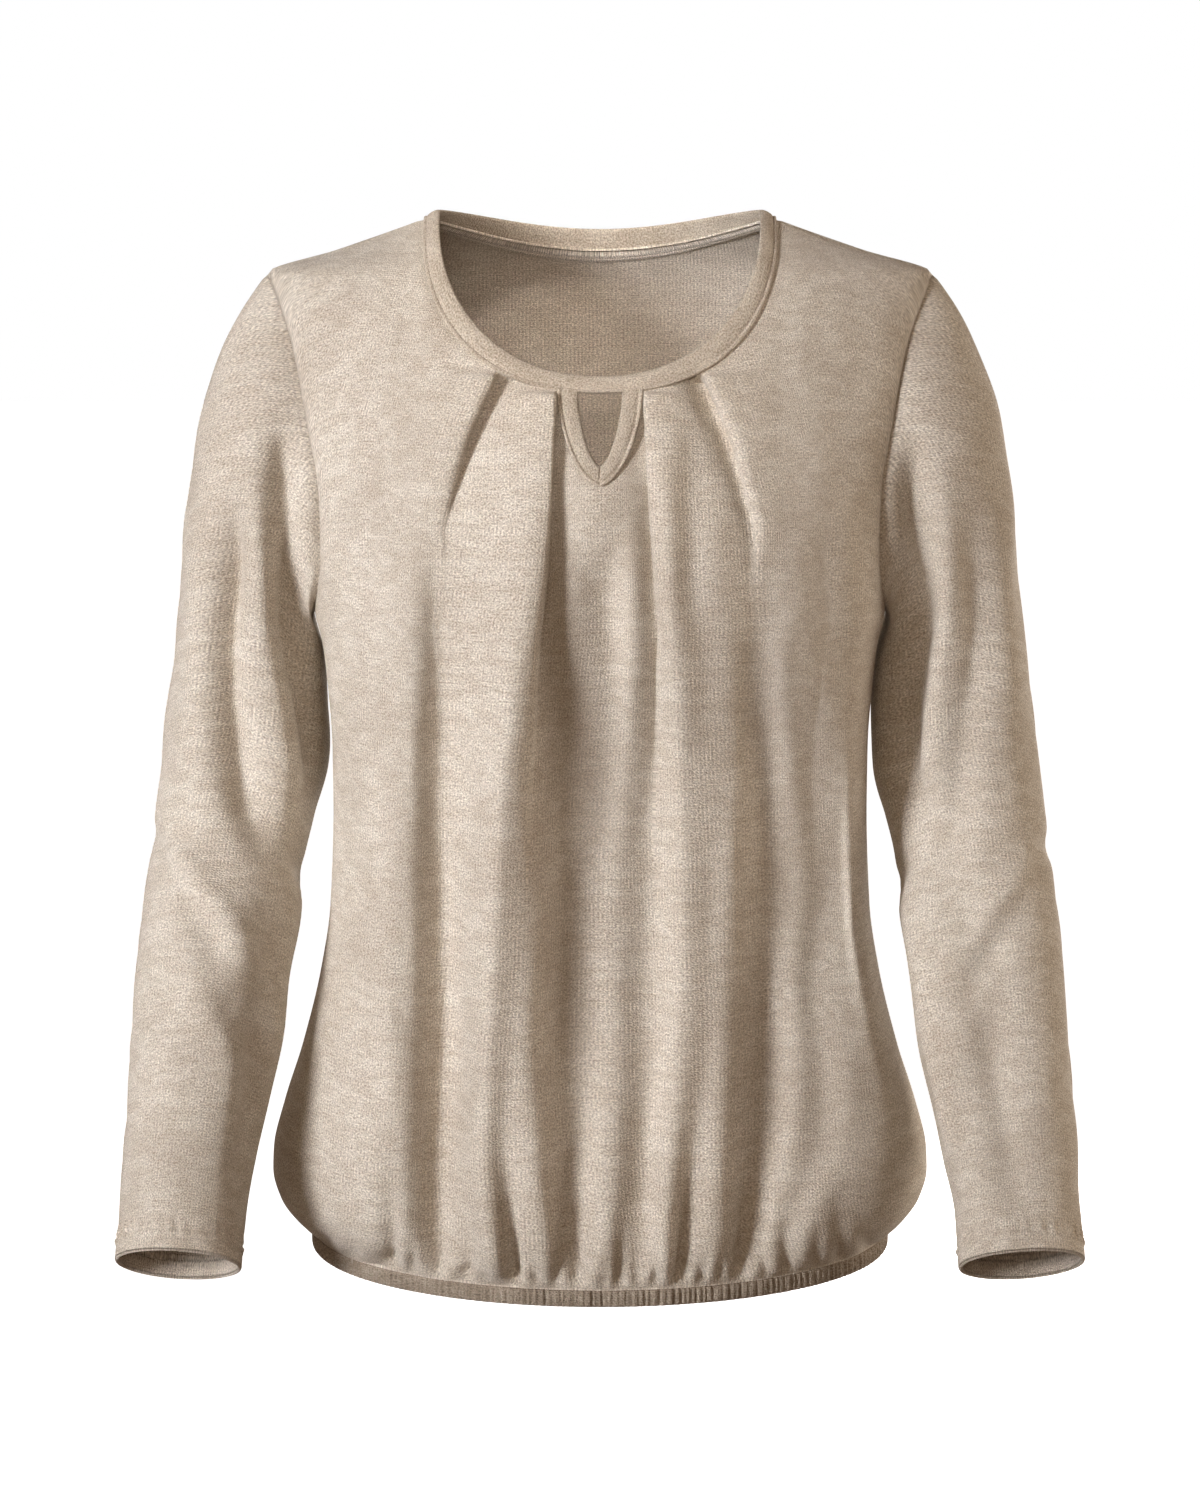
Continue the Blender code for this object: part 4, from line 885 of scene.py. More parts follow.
# ---------------------------------------------------------------- the back
# The back is cut plain, a little narrower than the front. It hangs in a few broad folds from
# the shoulder blades and is gathered into the same casing.
BACK_GUIDES = (
    Guide("centre", 0.0, 0.0, 0.20, 0),
    Guide("neck point", NECK_HALF_WIDTH, 0.800, 0.16, 48),
    Guide("shoulder point", SHOULDER_HALF_WIDTH, 1.0, 0.20, 25),
)
BACK_FIRST_ROW = 0.002
BACK_PLAIN_TOP = 0.030      # no folds in the first part below the neck and the shoulders
BACK_UPPER_ROWS = (0.0, 0.02, 0.07, 0.15, 0.27, 0.42, 0.60, 0.80, 1.0)
BACK_FOLDS = (
    Crease("right hollow", (-150, -149, -148, -147, -147, -148, -158, -170, -176, -172),
           (0, 0, 0, -0.5, -1, -1, -1, -1, -1, 0)),
    Crease("right crest", (-120, -121, -122, -124, -127, -131, -135, -139, -140, -138),
           (0, 0.5, 1.5, 3, 4, 5, 6, 6, 5, 3)),
    Crease("right valley", (-88, -86, -84, -85, -87, -90, -92, -94, -95, -94),
           (0, -0.5, -2, -4, -5, -6, -8, -8, -6, -4)),
    Crease("blade crest", (-52, -50, -50, -52, -54, -56, -56, -52, -49, -48),
           (0, 0.5, 2.5, 5, 7, 8, 9, 8, 6, 4)),
    Crease("spine valley", (-10, -8, -5, -4, -3, -2, 0, 2, 3, 4),
           (0, -0.5, -3, -5, -6, -7, -7, -6, -5, -3)),
    Crease("left blade crest", (40, 41, 44, 46, 49, 50, 50, 48, 46, 45),
           (0, 0.5, 2.5, 4.5, 6, 8, 9, 8, 7, 5)),
    Crease("left shelf", (62, 64, 66, 67, 69, 70, 70, 69, 67, 66),
           (0, 0, 0, -0.5, 0, 1, 1, 0, -1, -2)),
    Crease("left valley", (82, 84, 86, 87, 88, 90, 91, 92, 91, 90),
           (0, -0.5, -2, -4, -5, -6, -8, -8, -6, -4)),
    Crease("left crest", (118, 120, 123, 126, 130, 133, 137, 139, 138, 136),
           (0, 0.5, 1.5, 3, 4, 5, 6, 6, 5, 3)),
    Crease("left hollow", (150, 148, 147, 146, 146, 148, 158, 170, 176, 172),
           (0, 0, 0, -0.5, -1, -1, -1, -1, -1, 0)),
)
BACK_GATHERS = (
    Gather(-160, 6, 44, 3.5, 4.2), Gather(-137, 3, 60, 4.6, 4.8),
    Gather(-117, -3, 42, 3.2, 3.4), Gather(-98, 2, 86, 6.4, 5.2), Gather(-78, -4, 50, 3.6, 3.6),
    Gather(-62, 4, 62, 4.4, 4.0), Gather(-41, -6, 96, 6.4, 5.0), Gather(-24, 2, 44, 3.0, 3.2),
    Gather(-6, 3, 84, 6.0, 4.8), Gather(12, -2, 50, 3.4, 3.4), Gather(30, 5, 90, 6.2, 4.8),
    Gather(49, -3, 46, 3.4, 3.4), Gather(66, 3, 64, 4.4, 4.0), Gather(86, 6, 94, 6.6, 5.2),
    Gather(105, -3, 46, 3.4, 3.6), Gather(124, 2, 66, 4.8, 4.6), Gather(150, -5, 48, 3.6, 4.2),
)


def back_grid():
    """Plain outer surface of the back. At the shoulders it laps over the crest to the seam."""
    columns = columns_of(BACK_GUIDES, 1)
    over = np.abs(columns.top_x) >= NECK_HALF_WIDTH - 1e-9
    crest = np.where(over, crest_level(columns.top_x), columns.top_level - BACK_FIRST_ROW)
    side_top = float(seam_level(SHOULDER_HALF_WIDTH))
    armpit = (side_top - ARMPIT_LEVEL) / (side_top - HEM_LEVEL)
    pit_level = columns.top_level - (columns.top_level - HEM_LEVEL) * armpit
    lap = np.linspace(0, 1, ROWS_ABOVE + 1)[:-1, None] ** 0.7
    behind = finer(BACK_UPPER_ROWS, ROWS_ABOVE, 2.0)[:, None]
    lower = finer((armpit,) + LOWER_ROWS, ROWS_BELOW)[1:, None]
    lap_levels = columns.top_level + (crest - columns.top_level) * lap
    back_levels = np.concatenate((crest - (crest - pit_level) * behind,
                                  columns.top_level - (columns.top_level - HEM_LEVEL) * lower))
    lapped = np.where(over[:, None], torso_point(column_x(columns, lap_levels, -1), lap_levels, -1),
                      torso_point(column_x(columns, lap_levels, 1), lap_levels, 1))
    rest = torso_point(column_x(columns, back_levels, 1), back_levels, 1)
    return (np.concatenate((lapped, rest)), columns,
            np.concatenate((lap_levels, back_levels)))


back_plain, back_columns, z = back_grid()
back_out = normals_of(back_plain)
x = back_plain[..., 0]
left_edge, right_edge, hem_edge = edge_distance(back_plain)
side_edge = np.minimum(left_edge, right_edge)
top_edge, _ = line_distance(back_plain, back_plain[0])
within = smooth((1 - np.abs(back_columns.share)) / FOLD_FROM_SIDE)
within = within * smooth((top_edge - BACK_PLAIN_TOP) / FOLD_FROM_NECK)
relief = soft_folds(BACK_FOLDS, x, z) * within * smooth(hem_edge / FOLD_FROM_HEM)
relief += panel_relief(BACK_GATHERS, x, z, (side_edge, top_edge, hem_edge), within, 11,
                       (0.045, 0.23))
back = finished_panel("back_cloth", back_plain, back_out, relief, 0.0,
                      np.abs(back_columns.top_x) <= NECK_HALF_WIDTH + 1e-9, 1)
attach(back, "root")
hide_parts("back")

# ---------------------------------------------------------------- the sleeves
# Two long set-in sleeves, each one piece with its seam under the arm. They hang with bent
# elbows, so creases run from the armpit round the arm, and the wrist has a turned hem with
# two rows of stitching.
Ring = namedtuple("Ring", "level x y half_width half_depth")
SLEEVE = (
    Ring(-0.264, 0.2112, 0.018, 0.0453, 0.0560),
    Ring(-0.292, 0.2119, 0.019, 0.0483, 0.0560),
    Ring(-0.325, 0.2141, 0.017, 0.0501, 0.0545),
    Ring(-0.352, 0.2192, 0.011, 0.0478, 0.0525),
    Ring(-0.380, 0.2236, 0.001, 0.0462, 0.0500),
    Ring(-0.410, 0.2262, -0.013, 0.0473, 0.0480),
    Ring(-0.442, 0.2298, -0.028, 0.0463, 0.0460),
    Ring(-0.478, 0.2332, -0.045, 0.0447, 0.0435),
    Ring(-0.512, 0.2368, -0.062, 0.0425, 0.0405),
    Ring(-0.545, 0.2410, -0.079, 0.0397, 0.0375),
    Ring(-0.578, 0.2444, -0.095, 0.0369, 0.0350),
    Ring(-0.607, 0.2462, -0.111, 0.0365, 0.0335),
)
CAP_OUTWARD = 0.36
CAP_ROUND = 0.35
CAP_ONWARD = 0.6
CAP_DROP = 0.15
CAP_PULL = 0.36
AXIS_REACH = 0.012
BY_DISTANCE = 0.6
ARM_RADIUS = 0.048
CAP_LINES = 62
TUBE_SPACING = 0.0027
WRIST_HEM_WALL = 0.0026
WRIST_HEM = 0.0120          # from the wrist edge up to the stitching
WRIST_ROW = 0.0048          # between its two rows
WRIST_STITCH = 0.0008       # depth and half width of a row of stitching
WRIST_FULLNESS = 0.0006     # the turned hem stands out by this
PUCKER = 0.0009             # the hem's puckers, and how far they run from it
PUCKER_REACH = 0.0045

# Creases: points of a line down the arm as level in mm and angle in degrees, then height and
# half width in mm. Angle 0 is outside, 90 the front and 180 next to the body.
Arm = namedtuple("Arm", "name line height half_width")
RIGHT_ARM = (
    Arm("outer trough", ((-165, 66), (-195, 72), (-225, 76), (-254, 76), (-285, 80),
                         (-315, 88), (-345, 107), (-375, 134)), -17.0, 12.0),
    Arm("front ridge", ((-145, 88), (-200, 102), (-254, 108), (-310, 120), (-352, 136)), 3.2, 8.0),
    Arm("inner trough", ((-118, 92), (-135, 98), (-165, 107), (-195, 120), (-225, 132),
                         (-254, 139), (-285, 146), (-318, 154), (-352, 160)), -15.0, 11.5),
    Arm("armpit ridge", ((-190, 150), (-235, 160), (-262, 168)), 2.4, 6.0),
    Arm("outer ridge", ((-180, 36), (-240, 44), (-300, 52), (-345, 60)), 2.2, 12.0),
    Arm("elbow crease", ((-374, -8), (-370, 26), (-378, 58)), -2.6, 6.5),
    Arm("elbow ridge", ((-366, 34), (-380, 66), (-402, 92), (-428, 118), (-446, 140)), 4.4, 8.0),
    Arm("under elbow", ((-396, 62), (-412, 82), (-434, 102)), -3.8, 9.0),
    Arm("inner elbow", ((-372, 150), (-392, 172), (-402, 196)), -4.2, 7.5),
    Arm("forearm trough", ((-455, 100), (-470, 126), (-492, 156)), -3.4, 9.0),
    Arm("forearm ridge", ((-440, 74), (-462, 96), (-490, 118), (-520, 128)), 2.6, 10.0),
    Arm("lower trough", ((-400, 132), (-440, 140), (-490, 146), (-530, 150), (-575, 156)),
        -6.0, 15.0),
    Arm("wrist swell", ((-545, 60), (-570, 90)), 1.2, 16.0),
    Arm("back elbow", ((-360, 250), (-378, 286), (-370, 330)), -3.6, 8.0),
    Arm("back ridge", ((-392, 236), (-404, 275), (-390, 318)), 3.2, 9.0),
    Arm("back lower", ((-418, 240), (-428, 282)), -2.8, 9.0),
    Arm("back upper", ((-170, 285), (-230, 270), (-300, 262), (-340, 268)), -3.0, 10.0),
    Arm("back swell", ((-200, 310), (-280, 300), (-340, 302)), 2.4, 12.0),
    Arm("back forearm", ((-470, 230), (-510, 262), (-548, 270)), -2.0, 10.0),
)
LEFT_ARM = (
    Arm("outer trough", ((-165, 64), (-205, 66), (-245, 70), (-285, 80), (-330, 94),
                         (-375, 120), (-405, 150)), -9.0, 13.0),
    Arm("front ridge", ((-150, 74), (-220, 84), (-262, 94), (-312, 104), (-350, 120)), -2.0, 9.0),
    Arm("inner trough", ((-112, 106), (-140, 110), (-170, 114), (-200, 119), (-230, 124),
                         (-262, 132), (-302, 138), (-345, 140), (-380, 142)), -19.0, 15.0),
    Arm("armpit ridge", ((-184, 126), (-228, 142), (-258, 152)), 2.4, 6.0),
    Arm("outer ridge", ((-190, 38), (-250, 44), (-310, 50), (-350, 56)), 2.2, 12.0),
    Arm("elbow crease", ((-380, -6), (-375, 30), (-384, 56)), -3.4, 7.0),
    Arm("elbow ridge", ((-372, 36), (-388, 66), (-404, 86), (-426, 108), (-440, 130)), 4.2, 8.0),
    Arm("under elbow", ((-402, 58), (-420, 78), (-440, 96)), -3.2, 9.0),
    Arm("inner elbow", ((-380, 156), (-398, 176), (-408, 198)), -4.2, 7.5),
    Arm("forearm trough", ((-448, 108), (-466, 134), (-486, 160)), -2.6, 9.0),
    Arm("forearm ridge", ((-432, 82), (-456, 104), (-482, 136)), 1.8, 9.0),
    Arm("lower trough", ((-508, 122), (-536, 144), (-566, 160)), -2.0, 9.0),
    Arm("forearm flat", ((-375, 104), (-420, 104), (-470, 100), (-525, 98), (-580, 98)),
        -11.0, 22.0),
    Arm("forearm edge", ((-400, 158), (-450, 156), (-500, 154), (-560, 152)), 4.0, 11.0),
    Arm("wrist swell", ((-540, 58), (-566, 88)), 1.2, 16.0),
    Arm("back elbow", ((-364, 254), (-382, 290), (-374, 332)), -3.6, 8.0),
    Arm("back ridge", ((-396, 240), (-408, 278), (-396, 320)), 3.2, 9.0),
    Arm("back lower", ((-422, 244), (-434, 284)), -2.8, 9.0),
    Arm("back upper", ((-165, 288), (-225, 274), (-295, 264), (-345, 270)), -3.0, 10.0),
    Arm("back swell", ((-195, 312), (-270, 302), (-335, 304)), 2.4, 12.0),
    Arm("back forearm", ((-465, 234), (-505, 264), (-545, 272)), -2.0, 10.0),
)


def sleeve_rings(levels, angles):
    """Points round the left sleeve at each level of its middle line."""
    def middle(at):
        return np.stack((along(SLEEVE, "x", at), along(SLEEVE, "y", at), at), -1)

    levels = np.asarray(levels, float)
    above = np.minimum(levels + AXIS_REACH, SLEEVE[0].level)
    below = np.maximum(levels - AXIS_REACH, SLEEVE[-1].level)
    axis = unit(middle(below) - middle(above))
    outside = unit(np.array((1.0, 0.0, 0.0)) - axis * axis[:, :1])
    forward = np.cross(axis, outside)
    wide = along(SLEEVE, "half_width", levels)[:, None, None]
    deep = along(SLEEVE, "half_depth", levels)[:, None, None]
    cos, sin = np.cos(angles)[None, :, None], np.sin(angles)[None, :, None]
    return (middle(levels)[:, None] + outside[:, None] * wide * cos
            + forward[:, None] * deep * sin)


def loop_angles(loop, armpit, lead):
    """Angle round the arm of each point of the armhole, from the crest through the front."""
    ordered = np.roll(loop, lead, axis=0)
    steps = np.linalg.norm(np.roll(ordered, -1, axis=0) - ordered, axis=1)
    travelled = np.concatenate(([0.0], np.cumsum(steps)))
    count, pit = len(loop), armpit + lead
    place = np.arange(count)
    there = place / pit + (travelled[:-1] / travelled[pit] - place / pit) * BY_DISTANCE
    left = (count - place) / (count - pit)
    back_share = left + ((travelled[-1] - travelled[:-1]) / (travelled[-1] - travelled[pit])
                         - left) * BY_DISTANCE
    angles = np.where(place <= pit, math.pi * there, 2 * math.pi - math.pi * back_share)
    return np.roll(angles, -lead)


def sleeve_surface(loop, angles):
    """Plain outer surface of the left sleeve: the cap from the armhole, then the tube."""
    first, second = sleeve_rings([SLEEVE[0].level, SLEEVE[1].level], angles)
    span = np.linalg.norm(first - loop, axis=1, keepdims=True)
    round_it = np.stack((np.zeros(len(angles)), -np.sin(angles), np.zeros(len(angles))), -1)
    leave = unit((first - loop) / span * CAP_ONWARD
                 + np.array((1.0, 0.0, -CAP_DROP)) * CAP_OUTWARD + round_it * CAP_ROUND)
    pull = span * CAP_PULL
    handles = loop, loop + leave * pull, first - unit(second - first) * pull, first
    t = np.linspace(0, 1, CAP_LINES + 1)[:-1, None, None]
    cap = sum(weight * handle for weight, handle in zip(
        ((1 - t) ** 3, 3 * t * (1 - t) ** 2, 3 * t * t * (1 - t), t ** 3), handles))
    top, bottom = SLEEVE[0].level, SLEEVE[-1].level
    levels = np.linspace(top, bottom, int((top - bottom) / TUBE_SPACING) + 1)
    wrist = bottom + 0.018
    levels = np.concatenate((levels[levels > wrist], np.linspace(wrist, bottom, 24)))
    return np.concatenate((cap, sleeve_rings(levels, angles)))


def crease_height(creases, level, angle):
    """Summed height of an arm's creases, each a soft line with tapering ends."""
    total = np.zeros_like(level)
    for crease in creases:
        best = np.full_like(level, 1e9)
        place = np.zeros_like(level)
        points = [np.array((z / 1000, math.radians(a) * ARM_RADIUS)) for z, a in crease.line]
        for k, (start, end) in enumerate(zip(points, points[1:])):
            run = end - start
            for turn in (-2 * math.pi, 0.0, 2 * math.pi):
                off_z = level - start[0]
                off_a = (angle + turn) * ARM_RADIUS - start[1]
                t = np.clip((off_z * run[0] + off_a * run[1]) / (run @ run), 0, 1)
                apart = np.hypot(off_z - run[0] * t, off_a - run[1] * t)
                nearer = apart < best
                best = np.where(nearer, apart, best)
                place = np.where(nearer, (k + t) / (len(points) - 1), place)
        taper = smooth(place / 0.3 + 0.25) * smooth((1 - place) / 0.3 + 0.25)
        total += crease.height / 1000 * taper * np.exp(-(best * 1000 / crease.half_width) ** 2)
    return total


ARMPIT_ROW = len(UPPER_ROWS) * ROWS_ABOVE
armhole = np.concatenate((front_plain[:ARMPIT_ROW + 1, -1],
                          back_plain[ARMPIT_ROW - 1:0:-1, -1]))
armhole_out = np.concatenate((front_out[:ARMPIT_ROW + 1, -1],
                              back_out[ARMPIT_ROW - 1:0:-1, -1]))
armhole_out = unit(armhole_out + np.array((1.0, 0.0, 0.0)))
arm_angles = loop_angles(armhole, ARMPIT_ROW, ROWS_ABOVE)
sleeve_plain = sleeve_surface(armhole, arm_angles)
sleeve_out = normals_of(sleeve_plain, True)
sleeve_fall = np.cumsum(np.linalg.norm(np.diff(
    sleeve_plain, axis=0, prepend=sleeve_plain[:1]), axis=2), axis=0)
from_wrist = sleeve_fall[-1:] - sleeve_fall
MIRROR = np.array((-1.0, 1.0, 1.0))


def sleeve(name, node, creases, side, seed):
    """One sleeve. side is 1 for the left one and -1 for the right one, its mirror image."""
    level, angle = sleeve_plain[..., 2], np.broadcast_to(arm_angles, sleeve_fall.shape)
    relief = crease_height(creases, level, angle) * smooth(sleeve_fall / 0.030)
    relief += ripple(angle * ARM_RADIUS, level, seed, (0.10, 0.09), 0.0006) * smooth(
        sleeve_fall / 0.05) * smooth(from_wrist / 0.03)
    relief -= SEAM_ROLL * np.exp(-(sleeve_fall / SEAM_ROLL_WIDTH) ** 2)
    for row in (WRIST_HEM, WRIST_HEM - WRIST_ROW):
        relief -= WRIST_STITCH * np.exp(-((from_wrist - row) / WRIST_STITCH) ** 2)
    relief += 0.0004 * np.exp(-((from_wrist - WRIST_HEM + WRIST_ROW / 2) / 0.0020) ** 2)
    relief += WRIST_FULLNESS * smooth((WRIST_HEM - from_wrist) / 0.002)
    pucker = ripple(angle * ARM_RADIUS * 0.75, level * 0.2, seed + 1, (0.0065, 0.05), PUCKER)
    relief += pucker * np.exp(-((from_wrist - WRIST_HEM - 0.001) / PUCKER_REACH) ** 2)
    near = np.exp(-(sleeve_fall / SEAM_ROLL_WIDTH / 1.6) ** 2)[..., None]
    out = unit(sleeve_out * (1 - near) + armhole_out * near)
    outer = past_edge(sleeve_plain + out * relief[..., None], "top", -armhole_out)
    wall = CLOTH + (WRIST_HEM_WALL - CLOTH) * smooth((WRIST_HEM - from_wrist) / 0.001)
    extra = ((len(ALLOWANCE_STEPS), 0), (0, 0))
    wall = np.pad(wall, extra, mode="edge")
    inner = outer - normals_of(outer, True) * wall[..., None]
    turn = MIRROR if side < 0 else 1.0
    uv = np.pad(knit_uv(sleeve_plain, True), extra + ((0, 0),), mode="edge")
    piece = cloth_piece(name, outer * turn, inner * turn, True, uv, (RIGHT_SIDE, INNER_SIDE_PAINTED_LIGHT),
                        side < 0)
    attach(piece, "root")
    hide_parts(node)


sleeve("sleeve_right_cloth", "sleeve_right", RIGHT_ARM, -1, 21)
sleeve("sleeve_left_cloth", "sleeve_left", LEFT_ARM, 1, 34)

# ---------------------------------------------------------------- the neck band
# A strip of the same knit folded double round the neck, turned and stitched, so that a fine
# corded ridge follows the seam with a groove beside it.
BAND_THICKNESS = 0.0030
BAND_HALF_WIDTH = 0.0945
BAND_SIDE_HEIGHT = 0.0015
BAND_FRONT_HEIGHT = -0.0917
BAND_BACK_HEIGHT = -0.0108
BAND_FRONT_REACH = 0.0860
BAND_BACK_REACH = 0.0600
BAND_POWER = 2.15
BAND_BACK_FLATNESS = 2.8
BAND_LINES = 440
# Its section from the seam to the free edge and back inside: share of the width, then height
# as a share of the thickness over the cloth beside it.
BAND_SECTION = ((0.00, -0.10), (0.00, 0.22), (0.04, 0.40), (0.10, 0.46), (0.15, 0.38),
                (0.185, 0.14), (0.22, 0.13), (0.28, 0.32), (0.40, 0.43), (0.55, 0.47),
                (0.70, 0.44), (0.84, 0.34), (0.94, 0.16), (1.00, -0.10), (0.98, -0.32),
                (0.88, -0.48), (0.60, -0.56), (0.30, -0.56), (0.10, -0.54), (0.0, -0.45))
BAND_KNIT = knit("band_knit", (0.580, 0.512, 0.424, 1), (0.503, 0.430, 0.346, 1),
                 (0.317, 0.255, 0.188, 1), 2.0, ribs=0.6)


def resampled(line, count, closed):
    """Points evenly spaced along one or more lines that share their spacing."""
    path = line[0]
    if closed:
        line = [np.concatenate((part, part[:1])) for part in line]
        path = line[0]
    far = np.concatenate(([0.0], np.cumsum(np.linalg.norm(np.diff(path, axis=0), axis=1))))
    at = np.linspace(0, far[-1], count + 1)[:-1] if closed else np.linspace(0, far[-1], count)
    return [np.stack([np.interp(at, far, part[:, k]) for k in range(3)], -1) for part in line]


def strip_piece(name, seam, free, outward, section, thickness, closed, finish):
    """A folded strip between its seam line and its free edge, swept with one section."""
    across = free - seam
    start = seam + unit(across) * SEAM_GAP / 2
    ring = np.stack([start + across * share + outward * thickness * height
                     for share, height in section], 1)
    count, corners = ring.shape[:2]
    girth = np.linalg.norm(np.roll(ring, -1, axis=1) - ring, axis=2).mean(axis=0)
    girth = np.concatenate(([0.0], np.cumsum(girth)))
    steps = np.linalg.norm(np.roll(ring[:, 5], -1, axis=0) - ring[:, 5], axis=1)
    run = np.concatenate(([0.0], np.cumsum(steps)))
    faces, tones = [], []
    for i in range(count if closed else count - 1):
        for k in range(corners):
            n, after = (k + 1) % corners, (i + 1) % count
            faces.append((i * corners + k, after * corners + k, after * corners + n,
                          i * corners + n))
            tones += [(run[i], girth[k]), (run[i + 1], girth[k]), (run[i + 1], girth[k + 1]),
                      (run[i], girth[k + 1])]
    points = ring.reshape(-1, 3)
    if not closed:
        for end, order in ((0, 1), (count - 1, -1)):
            points = np.concatenate((points, ring[end].mean(axis=0)[None]))
            hub = len(points) - 1
            for k in range(corners):
                pair = (end * corners + k, end * corners + (k + 1) % corners)[::order]
                faces.append((hub, *pair))
                tones += [(run[end], girth[k])] * 3
    piece = as_piece(name, points, faces, tones, (finish,))
    middle = Vector(points.mean(axis=0))
    if sum(p.area * p.normal.dot(p.center - middle) for p in piece.data.polygons) < 0:
        piece.data.flip_normals()
    return piece


def press_in(piece, section, outward, depth, from_height, full_height):
    """Push the outer side of a strip inwards, by its own depth at each line of its run."""
    points = np.array([v.co for v in piece.data.vertices])
    ring = points[:len(depth) * len(section)].reshape(len(depth), len(section), 3)
    share = np.array([max(0.0, h + from_height) / full_height for _, h in section])
    ring -= outward[:, None] * depth[:, None, None] * share[None, :, None]
    piece.data.vertices.foreach_set("co", points.ravel())
    piece.data.update()


def outward_of(seam, free, closed):
    if closed:
        run = np.roll(seam, -1, axis=0) - np.roll(seam, 1, axis=0)
    else:
        run = np.gradient(seam, axis=0)
    return unit(np.cross(run, free - seam))


def neck_seam():
    """Neck seam and the band's free edge, from the keyhole's left corner round the back."""
    across = NOTCH_HALF_WIDTH * np.linspace(-1, 1, 25)[1:-1]
    bridge = torso_point(across, neck_level(across, -1), -1)
    tops, backs = front_columns.top_x, back_columns.top_x
    right = (tops >= NOTCH_HALF_WIDTH - 1e-9) & (tops <= NECK_HALF_WIDTH + 1e-9)
    left = (tops <= 1e-9 - NOTCH_HALF_WIDTH) & (tops >= -NECK_HALF_WIDTH - 1e-9)
    behind = np.abs(backs) < NECK_HALF_WIDTH - 1e-9
    seam = np.concatenate((bridge, front_plain[0, right], back_plain[0, behind][::-1],
                           front_plain[0, left]))
    rear = np.zeros(len(seam), bool)
    first = len(bridge) + right.sum()
    rear[first:first + behind.sum()] = True
    power = np.where(rear, NECK_BACK_POWER, BAND_POWER)
    angle = np.where(rear, neck_angle(seam[:, 0], NECK_BACK_POWER),
                     neck_angle(seam[:, 0], NECK_FRONT_POWER))
    end = np.where(rear, BAND_BACK_HEIGHT, BAND_FRONT_HEIGHT)
    sink = np.where(rear, BAND_BACK_FLATNESS, 2 / BAND_POWER)
    front_depth = abs(torso_point(0.0, neck_level(0.0, -1), -1)[1])
    back_depth = abs(torso_point(0.0, neck_level(0.0, 1), 1)[1])
    reach = np.where(rear, BAND_BACK_REACH / back_depth, BAND_FRONT_REACH / front_depth)
    free = np.stack((np.copysign(BAND_HALF_WIDTH * np.sin(angle) ** (2 / power), seam[:, 0]),
                     seam[:, 1] * reach,
                     BAND_SIDE_HEIGHT + (end - BAND_SIDE_HEIGHT)
                     * np.maximum(np.cos(angle), 0.0) ** sink), -1)
    return seam, free


neck_line, band_edge = neck_seam()
neck_line, band_edge = resampled((neck_line, band_edge), BAND_LINES, True)
band_out = outward_of(neck_line, band_edge, True)
neck_band = strip_piece("neck_band_cloth", neck_line, band_edge, band_out, BAND_SECTION,
                        BAND_THICKNESS, True, BAND_KNIT)
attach(neck_band, "root")
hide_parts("neck_band")

# ---------------------------------------------------------------- the keyhole binding
# A folded strip round the drop-shaped opening below the band. Its two sides meet in a mitre
# at the foot, and the same corded ridge follows its outer edge.
KEYHOLE_HALF_WIDTH = 0.0128
KEYHOLE_DEPTH = 0.0410
KEYHOLE_POWER = 1.60
BINDING_TUCK = 0.0020       # its two ends go this far under the neck band
BINDING_LINES = 150
MITRE_DEPTH = 0.0011        # groove where its two sides meet, and its half width in lines
MITRE_LINES = 0.9


def keyhole_seam():
    """Notch edge of the front and the binding's free edge, down one side and up the other."""
    inside = np.abs(front_columns.top_x) <= NOTCH_HALF_WIDTH + 1e-9
    seam = front_plain[0, inside].copy()
    top = neck_level(KEYHOLE_HALF_WIDTH, -1)
    angle = np.arcsin(np.minimum(np.abs(seam[:, 0]) / NOTCH_HALF_WIDTH, 1.0))
    power = 2 / KEYHOLE_POWER
    free_x = np.copysign(KEYHOLE_HALF_WIDTH * np.sin(angle) ** power, seam[:, 0])
    free = torso_point(free_x, top - KEYHOLE_DEPTH * np.maximum(np.cos(angle), 0) ** power, -1)
    for line in (seam, free):
        line[[0, -1], 2] += BINDING_TUCK
    return seam, free


notch_line, keyhole_edge = resampled(keyhole_seam(), BINDING_LINES, False)
binding_out = outward_of(notch_line, keyhole_edge, False)
binding = strip_piece("keyhole_binding_cloth", notch_line, keyhole_edge, binding_out,
                      BAND_SECTION, BAND_THICKNESS, False, BAND_KNIT)
from_foot = np.arange(BINDING_LINES) - (BINDING_LINES - 1) / 2
mitre = MITRE_DEPTH * np.exp(-(from_foot / MITRE_LINES) ** 2)
press_in(binding, BAND_SECTION, binding_out, mitre, 0.1, 0.5)
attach(binding, "root")
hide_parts("keyhole_binding")
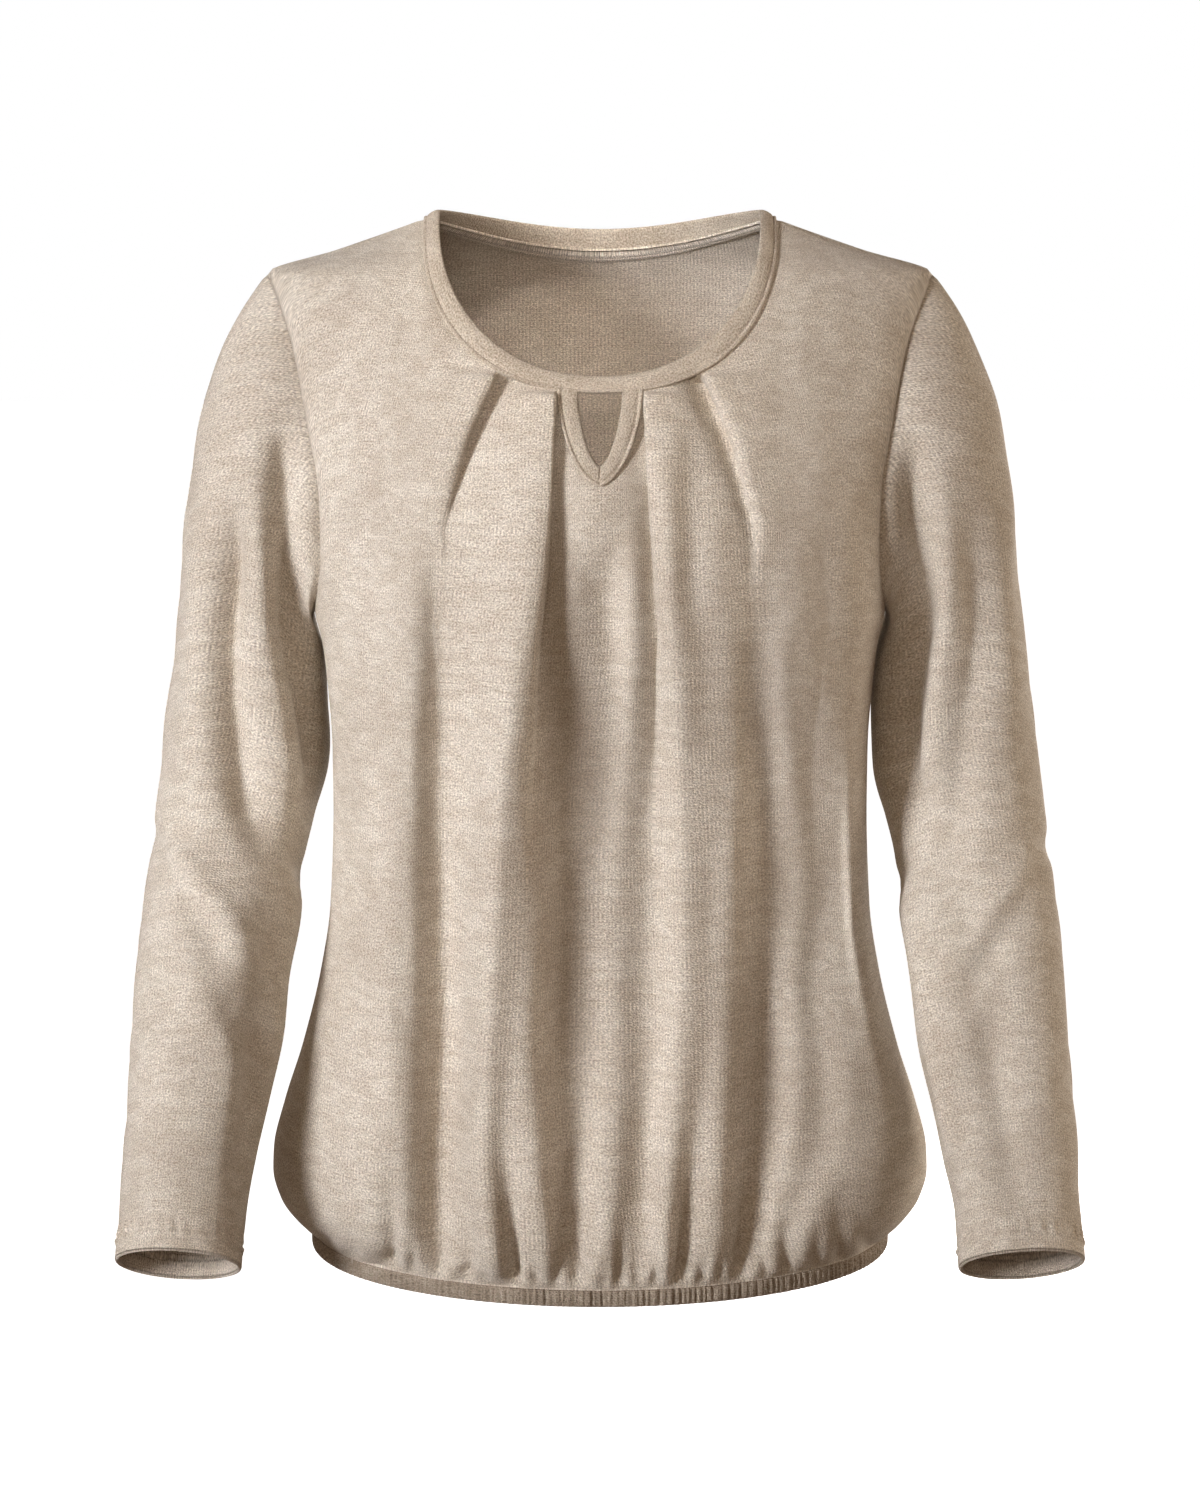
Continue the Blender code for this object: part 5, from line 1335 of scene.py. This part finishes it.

# ---------------------------------------------------------------- the hem casing
# A narrow casing of the same knit, sewn round the hem with elastic inside, which bunches it
# into uneven upright ribs. Its knit is drawn much darker, as painted shade under the overhang.
CASING_HEIGHT = 0.0100
CASING_THICKNESS = 0.0034
CASING_LINES = 1100
RIB_SPACING = (0.0024, 0.0056)
MOST_RIBS = 400
LAST_RIB = 0.002            # no groove nearer than this to where the count began
GROOVE_DEPTH = 0.0021
GROOVE_WIDTH = 0.0009
CASING_SECTION = ((0.00, -0.15), (0.00, 0.12), (0.07, 0.30), (0.18, 0.38), (0.35, 0.42),
                  (0.55, 0.42), (0.75, 0.40), (0.90, 0.26), (0.99, 0.02), (1.00, -0.22),
                  (0.95, -0.46), (0.70, -0.58), (0.35, -0.60), (0.05, -0.56))
# Painted shade: the same knit drawn much darker, standing in for the shadow under the blouson's
# overhang and between the casing's ribs.
CASING_KNIT_PAINTED_SHADE = knit("casing_knit", (0.400, 0.335, 0.268, 1), (0.330, 0.270, 0.210, 1),
                   (0.190, 0.148, 0.108, 1), 2.0, ribs=1.2)

hem_line = np.concatenate((front_plain[-1], back_plain[-1, -2:0:-1]))
hem_line, = resampled((hem_line,), CASING_LINES, True)
casing_edge = hem_line - np.array((0.0, 0.0, CASING_HEIGHT))
casing_out = -outward_of(hem_line, casing_edge, True)
casing = strip_piece("hem_casing_cloth", hem_line, casing_edge, casing_out, CASING_SECTION,
                     CASING_THICKNESS, True, CASING_KNIT_PAINTED_SHADE)
chance = np.random.default_rng(8)
girth = np.linalg.norm(np.roll(hem_line, -1, axis=0) - hem_line, axis=1).sum()
spots = np.cumsum(chance.uniform(*RIB_SPACING, MOST_RIBS))
spots = spots[spots < girth - LAST_RIB]
place = np.arange(CASING_LINES) / CASING_LINES * girth
groove = np.zeros(CASING_LINES)
for spot, deep, wide in zip(spots, chance.uniform(0.35, 1.0, MOST_RIBS),
                            chance.uniform(0.6, 1.1, MOST_RIBS)):
    groove += deep * np.exp(-np.abs((place - spot) / (GROOVE_WIDTH * wide)) ** 1.6)
press_in(casing, CASING_SECTION, casing_out, GROOVE_DEPTH * np.minimum(groove, 1.1), 0.2, 0.6)
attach(casing, "root")
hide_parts("hem_casing")
